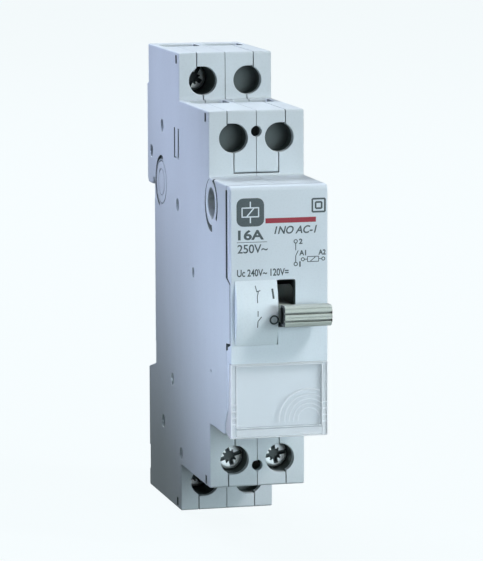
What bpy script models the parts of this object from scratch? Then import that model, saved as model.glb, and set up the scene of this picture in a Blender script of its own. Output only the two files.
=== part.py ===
"""One-module DIN rail contactor with a manual lever and a clear label flap.

Lengths below are in millimetres and are turned into metres as meshes are made.
X runs across the module (+X is the right side seen from the front), +Y points
back to the rail and +Z is up. The origin is the centre of the rail seat.
"""

import math

import bmesh
import bpy

MM = 0.001

# Housing, after the usual outline of modular rail devices.
HALF_WIDTH = 8.9
BACK = 5.8
HALF_HEIGHT = 43.2
TIER_1_FRONT = -20.8
TIER_1_FOOT = 34.4
TIER_2_FRONT = -44.0
NOSE_HALF = 22.5
NOSE_FRONT = -60.0
COVER_SEAM = -57.0
WALL = 1.4
SIDE_INNER = 7.6
GAP = 0.1
MIDDLE_GAP = 0.1
LIP_INNER = 8.6
LIP_FRONT = -59.5
LIP_Z = (-5.5, 5.2)
BACK_STEP = 0.6
BACK_STEP_FOOT = 35.7
BACK_NOTCH = 0.5
BACK_NOTCH_Z = (-39.8, -35.3)

# Recess for a 35 mm top-hat rail.
RAIL_TOP = 17.7
RAIL_BOTTOM = -18.1
RAIL_LIP = 16.4
RAIL_FLANGE = 1.3
SEAT_HALF = 14.0
SEAT_STEP = 0.2
CAVITY_BACK = -1.6
CAVITY_STEP_TOP = 20.0
CAVITY_STEP_FOOT = -21.0
CHANNEL_WALL = 0.6
TAB_HALF = 12.0
TAB_REACH = 1.5

# Terminals: two tiers, a left and a right one on each, above and below.
TERMINAL_X = 4.25
TIER_1_SCREW_Z = 37.9
TIER_2_SCREW_Z = 29.4
SCREW_HOLE = 2.65
WIRE_HALF = 2.4
TIER_1_WIRE_Y = -2.1
TIER_2_WIRE_Y = -25.2
COVER_WIDE = 5.35
COVER_NARROW = 4.1
COVER_FOOT = 23.1
MARKER_HOLE_Z = 30.55
MARKER_HOLE = 0.98
HOLE_DEPTH = 2.0

# Screw clamps.
HEAD_RADIUS = 2.45
HEAD_LENGTH = 2.0
SHANK_RADIUS = 1.45
CAGE_HALF_X = 3.05
CAGE_HALF_Z = 3.0
CAGE_WALL = 0.9
CAGE_DEPTH = 7.4
CAGE_BACK = 0.4
TIER_1_HEAD = -13.0
TIER_2_HEAD = -40.0
SLOT_HALF = 0.35
SLOT_DEPTH = 0.9
BAR_HALF_X = 1.8
BAR_THICK = 0.8
BAR_BACK = -3.8

# Pegs of the right shell, seen in the holes of the left one: (Y, Z, radius).
PEGS = [
    (-6.8, 28.4, 1.0),
    (2.4, 22.7, 1.0),
    (-19.3, 14.7, 1.0),
    (-31.65, 3.6, 0.7),
    (-14.2, -19.1, 1.0),
    (-6.4, -28.5, 1.0),
    (-21.2, -32.1, 0.9),
]
PEG_END = -8.4
PEG_CLEARANCE = 0.2
LINK_HOLE = (-45.9, 18.0)
LINK_HOLE_RADIUS = 2.8

# Manual lever, turning about a pin across the nose.
PIVOT_Y = -46.6
PIN_RADIUS = 1.0
PIN_CLEARANCE = 0.1
HUB_RADIUS = 3.0
ARM_X = (0.05, 2.55)
HANDLE_X = (-0.5, 8.2)
HANDLE_BACK = -62.0
HANDLE_FRONT = -65.6
PANEL_RADIUS = 14.6
PANEL_HALF = 5.8
PANEL_BACK = -59.35
PANEL_LEFT = -8.1
PANEL_RIGHT = -0.45
SLOT_LEFT = -0.3
SLOT_RIGHT = 2.85
SLOT_TOP = 5.7
SLOT_BOTTOM = -3.4

# Clear flap.
FLAP_TOP = -9.1
FLAP_BACK = -58.9
HINGE_Y = -57.2
HINGE_Z = -20.9
FLAP_PIN_RADIUS = 0.7
EAR_RADIUS = 1.15
EAR_INNER = 7.85
COVER_PLATE_BACK = -58.6
SKIRT_INNER = 7.7
SKIRT_FOOT = 6.1
RABBET_INNER = 8.5
RABBET_HALF = 5.9
FLAP_SEAT = (-20.3, -8.8)

# Coil and armature.
COIL_Y = -23.7
COIL_RADIUS = 5.9
CORE_RADIUS = 2.5
COIL_BOTTOM = -15.3
COIL_TOP = 9.1
COIL_GAP = 0.15
FLANGE = 1.2
FLANGE_HALF_X = 5.9
FLANGE_HALF_Y = 6.3
POLE_RADIUS = 3.5
YOKE_BACK = -15.5
YOKE_THICK = 1.5
YOKE_HALF = 5.5
ARMATURE_HINGE_Z = 11.0
ARMATURE_TOP = 12.3

# Contacts.
BLADE_Y = -7.8
BLADE_HALF = 0.2
BLADE_TOP = 23.7
CONTACT_Z = 1.0
CONTACT_RADIUS = 1.5

# Springs: coil radius and wire radius.
SPRING_RADIUS = 1.1
SPRING_WIRE = 0.17

# Rail clip.
CLIP_TOP = -16.4
CLIP_BOTTOM = -42.9
CLIP_HALF = 3.8
CLIP_NECK = 2.8
CLIP_STOP_Z = -33.0
CLIP_STOP_TOP = -31.8
CLIP_BACK = 5.6
CLIP_CLEARANCE = 0.2
CLIP_WINDOW_HALF = 1.7


def clear_scene():
    for obj in list(bpy.data.objects):
        bpy.data.objects.remove(obj, do_unlink=True)


def make_material(name, rgb, roughness, metallic=0.0, alpha=1.0):
    material = bpy.data.materials.new(name)
    material.use_nodes = True
    shader = material.node_tree.nodes["Principled BSDF"]
    shader.inputs["Base Color"].default_value = (*rgb, 1.0)
    shader.inputs["Roughness"].default_value = roughness
    shader.inputs["Metallic"].default_value = metallic
    shader.inputs["Alpha"].default_value = alpha
    return material


def add_mesh(name, bm, material=None):
    """Close a bmesh into an object whose faces point out."""
    bmesh.ops.recalc_face_normals(bm, faces=bm.faces)
    mesh = bpy.data.meshes.new(name)
    bm.to_mesh(mesh)
    bm.free()
    obj = bpy.data.objects.new(name, mesh)
    if material:
        mesh.materials.append(material)
    bpy.context.scene.collection.objects.link(obj)
    return obj


def point(axis, u, v, along):
    """Place (u, v) on the plane square to axis, at a distance along it."""
    order = {"X": (along, u, v), "Y": (u, along, v), "Z": (u, v, along)}
    return tuple(value * MM for value in order[axis])


def prism(name, axis, outline, low, high, material=None):
    """Extrude an outline along an axis: X takes (Y, Z), Y (X, Z), Z (X, Y)."""
    bm = bmesh.new()
    near = [bm.verts.new(point(axis, u, v, low)) for u, v in outline]
    far = [bm.verts.new(point(axis, u, v, high)) for u, v in outline]
    bm.faces.new(near[::-1])
    bm.faces.new(far)
    for i, vert in enumerate(near):
        j = (i + 1) % len(near)
        bm.faces.new((vert, near[j], far[j], far[i]))
    return add_mesh(name, bm, material)


def box(name, x, y, z, material=None):
    """A box from its (low, high) pairs on the three axes."""
    outline = [(x[0], y[0]), (x[1], y[0]), (x[1], y[1]), (x[0], y[1])]
    return prism(name, "Z", outline, z[0], z[1], material)


def arc(centre, radius, start, end, steps):
    """Points on an arc, from start to end in degrees."""
    points = []
    for i in range(steps + 1):
        angle = math.radians(start + (end - start) * i / steps)
        points.append((centre[0] + radius * math.cos(angle), centre[1] + radius * math.sin(angle)))
    return points


def rod(name, axis, centre, radius, low, high, sides=24, material=None):
    outline = arc(centre, radius, 0.0, 360.0 - 360.0 / sides, sides - 1)
    return prism(name, axis, outline, low, high, material)


def helix(name, centre, low, high, turns, material):
    """An open coil spring along Z, from low to high, ends of the wire included."""
    steps_per_turn = 10
    steps = steps_per_turn * turns
    sides = 5
    bm = bmesh.new()
    rings = []
    for i in range(steps + 1):
        turn = 2.0 * math.pi * i / steps_per_turn
        z = low + SPRING_WIRE + (high - low - 2.0 * SPRING_WIRE) * i / steps
        ring = []
        for side in range(sides):
            angle = 2.0 * math.pi * side / sides
            reach = SPRING_RADIUS + SPRING_WIRE * math.cos(angle)
            x = centre[0] + reach * math.cos(turn)
            y = centre[1] + reach * math.sin(turn)
            rise = SPRING_WIRE * math.sin(angle)
            ring.append(bm.verts.new((x * MM, y * MM, (z + rise) * MM)))
        rings.append(ring)
    bm.faces.new(rings[0])
    bm.faces.new(rings[-1])
    for first, second in zip(rings, rings[1:]):
        for side in range(sides):
            after = (side + 1) % sides
            bm.faces.new((first[side], first[after], second[after], second[side]))
    return add_mesh(name, bm, material)


def boolean(target, operation, tools):
    """Join or cut a piece with helper solids, which stay as hidden guides."""
    guides = bpy.data.collections.new(target.name + "_" + operation.lower())
    bpy.context.scene.collection.children.link(guides)
    for tool in tools:
        bpy.context.scene.collection.objects.unlink(tool)
        guides.objects.link(tool)
        tool.hide_render = True
        tool.display_type = "WIRE"
    modifier = target.modifiers.new(operation.title(), "BOOLEAN")
    modifier.operation = operation
    modifier.operand_type = "COLLECTION"
    modifier.collection = guides
    modifier.solver = "EXACT"


def span(side, inner, outer):
    """The X range between two distances from the middle, on one side (-1 or 1)."""
    return tuple(sorted((side * inner, side * outer)))


def turn_about(obj, y, z):
    """Move a piece's origin to its axis along X, leaving its shape where it is."""
    for vert in obj.data.vertices:
        vert.co.y -= y * MM
        vert.co.z -= z * MM
    obj.location = (0.0, y * MM, z * MM)


def flipped(outline, up):
    """The outline itself above the middle (up = 1), or its mirror image below."""
    return [(y, up * z) for y, z in outline]


def shell_outline():
    """Side view of a housing shell, without the front cover."""
    return [
        (BACK - BACK_STEP, HALF_HEIGHT),
        (BACK - BACK_STEP, BACK_STEP_FOOT),
        (BACK, BACK_STEP_FOOT),
        (BACK, RAIL_LIP + 0.8),
        (BACK - 0.8, RAIL_LIP),
        (RAIL_FLANGE + 0.5, RAIL_LIP),
        (RAIL_FLANGE, RAIL_LIP + 0.5),
        (RAIL_FLANGE, RAIL_TOP),
        (-SEAT_STEP, RAIL_TOP),
        (-SEAT_STEP, SEAT_HALF),
        (0.0, SEAT_HALF),
        (0.0, -SEAT_HALF),
        (-SEAT_STEP, -SEAT_HALF),
        (-SEAT_STEP, RAIL_BOTTOM),
        (BACK, RAIL_BOTTOM - 1.5),
        (BACK, BACK_NOTCH_Z[1]),
        (BACK - BACK_NOTCH, BACK_NOTCH_Z[1]),
        (BACK - BACK_NOTCH, BACK_NOTCH_Z[0]),
        (BACK, BACK_NOTCH_Z[0]),
        (BACK, -HALF_HEIGHT),
        (TIER_1_FRONT, -HALF_HEIGHT),
        (TIER_1_FRONT, -TIER_1_FOOT),
        (TIER_2_FRONT, -TIER_1_FOOT),
        (TIER_2_FRONT, -NOSE_HALF),
        (HINGE_Y + 1.8, -NOSE_HALF),
        (HINGE_Y + 1.3, -20.0),
        (COVER_SEAM, -18.2),
        (COVER_SEAM, NOSE_HALF),
        (TIER_2_FRONT, NOSE_HALF),
        (TIER_2_FRONT, TIER_1_FOOT),
        (TIER_1_FRONT, TIER_1_FOOT),
        (TIER_1_FRONT, HALF_HEIGHT),
    ]


def cavity_outline():
    """Side view of the hollow inside the shells, open to the front cover."""
    upper = [
        (BACK - WALL, HALF_HEIGHT - WALL),
        (BACK - WALL, CAVITY_STEP_TOP),
        (CAVITY_BACK, CAVITY_STEP_TOP),
        (CAVITY_BACK, CAVITY_STEP_FOOT),
        (CHANNEL_WALL, CAVITY_STEP_FOOT),
        (CHANNEL_WALL, -HALF_HEIGHT + WALL),
    ]
    front = [
        (TIER_1_FRONT + WALL, -HALF_HEIGHT + WALL),
        (TIER_1_FRONT + WALL, -TIER_1_FOOT + WALL),
        (TIER_2_FRONT + WALL, -TIER_1_FOOT + WALL),
        (TIER_2_FRONT + WALL, -NOSE_HALF + WALL),
        (COVER_SEAM - 1.0, -NOSE_HALF + WALL),
    ]
    return upper + front + [(y, -z) for y, z in reversed(front)]


def tier_bend(front, top, back, foot, growth=0.0):
    """An L of wall thickness: a tier's top plate and the front plate below it."""
    return [
        (back, top),
        (front, top),
        (front, foot),
        (front + WALL + growth, foot),
        (front + WALL + growth, top - WALL - growth),
        (back, top - WALL - growth),
    ]


def step_outline(growth=0.0):
    """Side view of a terminal cover: one plate bent along both tiers."""
    wall = WALL + growth
    top = HALF_HEIGHT + growth
    foot = TIER_1_FOOT + growth
    return [
        (TIER_1_WIRE_Y, top),
        (TIER_1_FRONT - growth, top),
        (TIER_1_FRONT - growth, foot),
        (TIER_2_FRONT - growth, foot),
        (TIER_2_FRONT - growth, COVER_FOOT - growth),
        (TIER_2_FRONT + wall, COVER_FOOT - growth),
        (TIER_2_FRONT + wall, TIER_1_FOOT - wall),
        (TIER_1_FRONT + wall, TIER_1_FOOT - wall),
        (TIER_1_FRONT + wall, HALF_HEIGHT - wall),
        (TIER_1_WIRE_Y, HALF_HEIGHT - wall),
    ]


def wide_outlines(growth=0.0):
    """Side views of the wider parts of a terminal cover, one on each tier."""
    return [
        tier_bend(TIER_1_FRONT - growth, HALF_HEIGHT + growth, TIER_1_WIRE_Y,
                  TIER_1_SCREW_Z, 2.0 * growth),
        tier_bend(TIER_2_FRONT - growth, TIER_1_FOOT + growth, TIER_2_WIRE_Y,
                  TIER_2_SCREW_Z, 2.0 * growth),
    ]


def terminal_holes(name, side, up):
    """Cutters for one quarter's two screw holes and two wire entries."""
    x = side * TERMINAL_X
    tiers = [
        (TIER_1_FRONT, TIER_1_SCREW_Z, TIER_1_WIRE_Y, HALF_HEIGHT),
        (TIER_2_FRONT, TIER_2_SCREW_Z, TIER_2_WIRE_Y, TIER_1_FOOT),
    ]
    cutters = []
    for number, (front, screw_z, wire_y, top) in enumerate(tiers, start=1):
        cutters.append(rod(f"{name}_screw_{number}", "Y", (x, up * screw_z), SCREW_HOLE,
                           front - 1.0, front + HOLE_DEPTH))
        wire = span(up, top - HOLE_DEPTH, top + 1.0)
        cutters.append(box(f"{name}_wire_{number}", (x - WIRE_HALF, x + WIRE_HALF),
                           (wire_y - WIRE_HALF, wire_y + WIRE_HALF), wire))
    marker = rod(f"{name}_marker", "Y", (0.0, up * MARKER_HOLE_Z), MARKER_HOLE,
                 TIER_2_FRONT - 1.0, TIER_2_FRONT + HOLE_DEPTH, 16)
    cutters.append(marker)
    return cutters


def cover_pockets(name, side):
    """Cutters that leave room in a shell for its two terminal covers."""
    growth = 0.15
    narrow = span(side, -1.0, COVER_NARROW + GAP)
    wide = span(side, -1.0, COVER_WIDE + GAP)
    cutters = []
    for up in (1, -1):
        cutters.append(prism(f"{name}_step_{up}", "X", flipped(step_outline(growth), up), *narrow))
        for number, outline in enumerate(wide_outlines(growth)):
            cutters.append(prism(f"{name}_wide_{up}_{number}", "X", flipped(outline, up), *wide))
    return cutters


def clip_channel(name, side):
    """Cutters for one half of the stepped channel that holds the rail clip."""
    z = (-HALF_HEIGHT - 1.0, RAIL_BOTTOM + 0.4)
    tooth_z = (CLIP_TOP - 6.5, z[1])
    wide_x = span(side, -1.0, CLIP_HALF + CLIP_CLEARANCE)
    neck_x = span(side, -1.0, CLIP_NECK + CLIP_CLEARANCE)
    return [
        box(f"{name}_channel", wide_x, (2.0, 4.4), z),
        box(f"{name}_neck", neck_x, (4.3, BACK + 1.0), z),
        box(f"{name}_tooth_run", neck_x, (1.4, 2.5), tooth_z),
    ]


def make_shell(side, material):
    """One half of the housing: side wall, half of the outer walls, ribs and pegs."""
    name = "right_shell" if side > 0 else "left_shell"
    shell = prism(name, "X", shell_outline(), *span(side, MIDDLE_GAP, HALF_WIDTH), material)
    cavity = prism(name + "_cavity", "X", cavity_outline(), *span(side, -1.0, SIDE_INNER))
    boolean(shell, "DIFFERENCE", [cavity] + cover_pockets(name, side))

    joined = SIDE_INNER + 0.5
    added = []
    for up in (1, -1):
        shelf_z = span(up, NOSE_HALF - WALL, NOSE_HALF - 0.05)
        added.append(box(f"{name}_shelf_{up}", span(side, MIDDLE_GAP, joined),
                         (TIER_2_FRONT + WALL - 0.3, -31.0), shelf_z))
    added.append(box(name + "_lip", span(side, LIP_INNER, HALF_WIDTH),
                     (LIP_FRONT, COVER_SEAM + 1.0), LIP_Z))
    if side > 0:
        for number, (y, z, radius) in enumerate(PEGS):
            added.append(rod(f"{name}_peg_{number}", "X", (y, z), radius, PEG_END, joined, 12))
        added.append(box(name + "_tab", (-TAB_REACH, 0.5), (CAVITY_BACK, 0.0),
                         (-TAB_HALF, TAB_HALF)))
        stop_z = (CLIP_STOP_Z, CLIP_STOP_TOP)
        added.append(box(name + "_stop_foot", (0.3, 1.4), (1.5, 2.6), stop_z))
        added.append(box(name + "_stop", (-1.2, 1.4), (2.25, 4.0), stop_z))

    cutters = clip_channel(name, side)
    for up in (1, -1):
        cutters += terminal_holes(f"{name}_{up}", side, up)
    inside = SIDE_INNER - 1.6
    cutters.append(rod(name + "_pin_hole", "X", (PIVOT_Y, 0.0), PIN_RADIUS + PIN_CLEARANCE,
                       *span(side, inside, 8.4), 16))
    if side < 0:
        for number, (y, z, radius) in enumerate(PEGS):
            cutters.append(rod(f"{name}_hole_{number}", "X", (y, z), radius + PEG_CLEARANCE,
                               -HALF_WIDTH - 1.0, -inside, 12))
        room = 0.15
        cutters.append(box(name + "_tab_slot", (-TAB_REACH - room, 1.0), (CAVITY_BACK - 1.0, 1.0),
                           (-TAB_HALF - room, TAB_HALF + room)))
        cutters.append(rod(name + "_link_hole", "X", LINK_HOLE, LINK_HOLE_RADIUS,
                           -HALF_WIDTH - 1.0, -inside, 20))
    if side > 0:
        boolean(shell, "DIFFERENCE", cutters)
        boolean(shell, "UNION", added)
    else:
        boolean(shell, "UNION", added)
        boolean(shell, "DIFFERENCE", cutters)
    return shell


def make_terminal_cover(side, up, material):
    """The bent plate between the middle seam and a shell, above or below the nose."""
    height = "upper" if up > 0 else "lower"
    width = "right" if side > 0 else "left"
    name = f"{height}_{width}_terminal_cover"
    cover = prism(name, "X", flipped(step_outline(), up), *span(side, MIDDLE_GAP, COVER_NARROW),
                  material)
    wide = []
    for number, outline in enumerate(wide_outlines()):
        wide.append(prism(f"{name}_wide_{number}", "X", flipped(outline, up),
                          *span(side, MIDDLE_GAP, COVER_WIDE)))
    boolean(cover, "UNION", wide)
    boolean(cover, "DIFFERENCE", terminal_holes(name, side, up))
    return cover


def make_front_cover(material):
    """The nose's front: a skirted plate with the lever slot and the flap's seat."""
    skirt_back = COVER_SEAM - 0.15
    skirt = (COVER_PLATE_BACK - 0.2, skirt_back)
    top_skirt_z = (NOSE_HALF - 1.2, NOSE_HALF)
    foot = FLAP_TOP + GAP
    cover = box("front_cover", (-HALF_WIDTH, HALF_WIDTH), (NOSE_FRONT, COVER_PLATE_BACK),
                (foot, NOSE_HALF), material)
    added = [box("cover_top_skirt", (-HALF_WIDTH, HALF_WIDTH), skirt, top_skirt_z)]
    flap_edge = [(-58.7, foot + 0.1), (-58.05, -17.2), (skirt_back, -18.0),
                 (skirt_back, foot + 0.1)]
    cutters = []
    for side in (1, -1):
        edge = span(side, SKIRT_INNER, HALF_WIDTH)
        added.append(box(f"cover_skirt_{side}", edge, skirt, (SKIRT_FOOT, NOSE_HALF)))
        added.append(box(f"cover_low_skirt_{side}", edge, skirt, (foot, -SKIRT_FOOT)))
        added.append(prism(f"cover_flap_edge_{side}", "X", flap_edge, *edge))
        cutters.append(box(f"cover_rabbet_{side}", span(side, RABBET_INNER, HALF_WIDTH + 1.0),
                           (NOSE_FRONT + 0.35, COVER_SEAM), (-RABBET_HALF, RABBET_HALF)))
        cutters.append(rod(f"cover_pin_hole_{side}", "X", (HINGE_Y, HINGE_Z),
                           FLAP_PIN_RADIUS + 0.12, *span(side, 6.7, HALF_WIDTH + GAP), 12))
    seat_x = (-SKIRT_INNER, SKIRT_INNER)
    added.append(box("cover_flap_seat", seat_x, (-58.7, -57.3), FLAP_SEAT))
    added.append(rod("cover_barrel", "X", (HINGE_Y, HINGE_Z), 1.4, *seat_x, 16))
    boolean(cover, "UNION", added)
    through = (NOSE_FRONT - 1.0, COVER_SEAM + 1.0)
    cutters.append(box("cover_slot", (SLOT_LEFT, SLOT_RIGHT), through, (SLOT_BOTTOM, SLOT_TOP)))
    panel_z = PANEL_HALF + 0.15
    cutters.append(box("cover_panel_seat", (PANEL_LEFT - 0.15, SLOT_LEFT + 0.05),
                       (NOSE_FRONT - 1.0, PANEL_BACK + 0.15), (-panel_z, panel_z)))
    boolean(cover, "DIFFERENCE", cutters)
    return cover


def make_marking_panel(material):
    """The curved plate beside the lever, bulging on the lever's own radius."""
    half_angle = math.degrees(math.asin(PANEL_HALF / PANEL_RADIUS))
    outline = arc((PIVOT_Y, 0.0), PANEL_RADIUS, 180.0 - half_angle, 180.0 + half_angle, 12)
    outline += [(PANEL_BACK, -PANEL_HALF), (PANEL_BACK, PANEL_HALF)]
    return prism("marking_panel", "X", outline, PANEL_LEFT, PANEL_RIGHT, material)


def make_flap(material):
    """The clear label flap with an ear and a hinge pin at each lower corner."""
    flap = box("clear_flap", (-HALF_WIDTH, HALF_WIDTH), (NOSE_FRONT, FLAP_BACK),
               (-NOSE_HALF, FLAP_TOP), material)
    ear_front = NOSE_FRONT + 0.2
    ear = [(ear_front, -NOSE_HALF), (ear_front, FLAP_TOP), (FLAP_BACK, FLAP_TOP), (-58.2, -17.5)]
    ear += arc((HINGE_Y, HINGE_Z), EAR_RADIUS, 45.0, -90.0, 8)
    ear += [(FLAP_BACK, -NOSE_HALF)]
    added = []
    for side in (1, -1):
        added.append(prism(f"flap_ear_{side}", "X", ear, *span(side, EAR_INNER, HALF_WIDTH)))
        added.append(rod(f"flap_pin_{side}", "X", (HINGE_Y, HINGE_Z), FLAP_PIN_RADIUS,
                         *span(side, 6.9, EAR_INNER + 0.4), 10))
    boolean(flap, "UNION", added)
    turn_about(flap, HINGE_Y, HINGE_Z)
    for guide in added:
        turn_about(guide, HINGE_Y, HINGE_Z)
    return flap


def make_lever(material):
    """Hub, slot arm and handle bar in front, and the tail that works the armature."""
    lever = rod("switch_lever", "X", (PIVOT_Y, 0.0), HUB_RADIUS, -3.0, 5.6, 24, material)
    handle = [(HANDLE_BACK, 0.9), (HANDLE_BACK - 0.8, 1.7), (HANDLE_FRONT + 0.6, 1.6),
              (HANDLE_FRONT, 1.0), (HANDLE_FRONT, -1.3), (HANDLE_FRONT + 0.6, -1.95),
              (HANDLE_BACK - 0.8, -2.03), (HANDLE_BACK, -1.2)]
    hub_overlap = HUB_RADIUS / 2.0
    added = [
        box("lever_arm", ARM_X, (HANDLE_BACK - 0.4, PIVOT_Y - hub_overlap), (-1.9, 1.2)),
        prism("lever_handle", "X", handle, *HANDLE_X),
        box("lever_tail", ARM_X, (PIVOT_Y + hub_overlap, -39.5), (1.0, 2.6)),
    ]
    boolean(lever, "UNION", added)
    bore = rod("lever_bore", "X", (PIVOT_Y, 0.0), PIN_RADIUS + PIN_CLEARANCE, -HALF_WIDTH,
               HALF_WIDTH, 16)
    boolean(lever, "DIFFERENCE", [bore])
    for piece in [lever, bore] + added:
        turn_about(piece, PIVOT_Y, 0.0)
    return lever


def make_clip(material):
    """The sliding rail clip: stepped slider, window for its spring, pull slot."""
    slider_top = -18.6
    clip = box("din_clip", (-CLIP_HALF, CLIP_HALF), (2.2, 4.2), (CLIP_BOTTOM, slider_top), material)
    tooth_foot = slider_top - 0.4
    tooth = [(1.6, tooth_foot), (1.6, CLIP_TOP - 0.6), (2.1, CLIP_TOP), (3.4, CLIP_TOP),
             (CLIP_BACK, CLIP_TOP - 1.6), (CLIP_BACK, tooth_foot)]
    added = [
        box("clip_neck", (-CLIP_NECK, CLIP_NECK), (4.0, CLIP_BACK), (CLIP_BOTTOM, slider_top)),
        prism("clip_tooth", "X", tooth, -CLIP_NECK, CLIP_NECK),
    ]
    boolean(clip, "UNION", added)
    window_x = (-CLIP_WINDOW_HALF, CLIP_WINDOW_HALF)
    through = (1.0, BACK + 1.2)
    cutters = [
        box("clip_window", window_x, through, (CLIP_STOP_Z - 0.3, -22.5)),
        box("clip_pull_slot", window_x, through, (CLIP_BOTTOM + 1.5, CLIP_BOTTOM + 4.3)),
    ]
    boolean(clip, "DIFFERENCE", cutters)
    return clip


def make_terminal(label, x, up, tier_2, material):
    """One clamp: its captive screw and the cage that the screw draws forward."""
    screw_z = up * (TIER_2_SCREW_Z if tier_2 else TIER_1_SCREW_Z)
    shift = TIER_2_WIRE_Y - TIER_1_WIRE_Y if tier_2 else 0.0
    head_front = TIER_2_HEAD if tier_2 else TIER_1_HEAD
    head_back = head_front + HEAD_LENGTH
    bar_front = BAR_BACK - BAR_THICK + shift
    screw = rod(f"terminal_screw_{label}", "Y", (x, screw_z), HEAD_RADIUS, head_front, head_back,
                20, material)
    shank = rod(f"screw_{label}_shank", "Y", (x, screw_z), SHANK_RADIUS, head_back - 0.3,
                bar_front - 0.4, 12)
    boolean(screw, "UNION", [shank])
    slot = box(f"screw_{label}_slot", (x - 3.0, x + 3.0),
               (head_front - 1.0, head_front + SLOT_DEPTH),
               (screw_z - SLOT_HALF, screw_z + SLOT_HALF))
    boolean(screw, "DIFFERENCE", [slot])

    back = CAGE_BACK + shift
    front = back - CAGE_DEPTH
    z = (screw_z - CAGE_HALF_Z, screw_z + CAGE_HALF_Z)
    inner_x = CAGE_HALF_X - CAGE_WALL
    cage = box(f"clamp_cage_{label}", (x - CAGE_HALF_X, x + CAGE_HALF_X), (front, back), z,
               material)
    window = box(f"cage_{label}_window", (x - inner_x, x + inner_x),
                 (front + CAGE_WALL, back - CAGE_WALL), (z[0] - 1.0, z[1] + 1.0))
    hole = rod(f"cage_{label}_hole", "Y", (x, screw_z), SHANK_RADIUS + 0.12, front - 1.0,
               front + 2.0, 12)
    boolean(cage, "DIFFERENCE", [window, hole])
    return screw, cage


def make_contacts(copper, silver):
    """Terminal bars, the fixed contact and the blade that closes on it."""
    x = (-TERMINAL_X - BAR_HALF_X, -TERMINAL_X + BAR_HALF_X)
    middle = (-TERMINAL_X, CONTACT_Z)
    bar_end = 40.5
    front = BAR_BACK - BAR_THICK
    box("fixed_contact_bar", x, (front, BAR_BACK), (-bar_end, 3.2), copper)
    step = 24.0
    step_front = BLADE_Y - 2.0 * BLADE_HALF
    upper = [(BAR_BACK, bar_end), (front, bar_end), (front, step + BAR_THICK),
             (step_front, step + BAR_THICK), (step_front, step), (BAR_BACK, step)]
    prism("upper_terminal_bar", "X", upper, *x, copper)
    rod("fixed_contact_tip", "Y", middle, CONTACT_RADIUS, front - 1.0, front - 0.1, 16, silver)
    blade = box("contact_blade", x, (BLADE_Y - BLADE_HALF, BLADE_Y + BLADE_HALF),
                (CONTACT_Z - 2.0, BLADE_TOP), copper)
    tip = rod("moving_contact_tip", "Y", middle, CONTACT_RADIUS, BLADE_Y + BLADE_HALF + 0.1,
              BLADE_Y + 1.3, 16, silver)
    for piece in (blade, tip):
        turn_about(piece, BLADE_Y, BLADE_TOP)


def make_coil_feed(label, side, copper, wire_material):
    """A coil terminal's bar and the lead from it up to the winding."""
    x = side * TERMINAL_X
    front = BAR_BACK - BAR_THICK + TIER_2_WIRE_Y - TIER_1_WIRE_Y
    box(f"{label}_terminal_bar", (x - BAR_HALF_X, x + BAR_HALF_X), (front, front + BAR_THICK),
        (-32.0, -19.6), copper)
    corners = [(5.2, -27.3, -19.2), (5.9, -27.0, -18.2), (6.5, -26.4, -17.2), (6.6, -25.4, -15.8),
               (6.6, -24.4, -14.4), (6.6, -23.9, -13.0)]
    curve = bpy.data.curves.new(f"{label}_coil_lead", "CURVE")
    curve.dimensions = "3D"
    curve.bevel_depth = 0.3 * MM
    curve.bevel_resolution = 2
    curve.use_fill_caps = True
    spline = curve.splines.new("POLY")
    spline.points.add(len(corners) - 1)
    for knot, (reach, depth, height) in zip(spline.points, corners):
        knot.co = (side * reach * MM, depth * MM, height * MM, 1.0)
    curve.materials.append(wire_material)
    lead = bpy.data.objects.new(f"{label}_coil_lead", curve)
    bpy.context.scene.collection.objects.link(lead)


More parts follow.
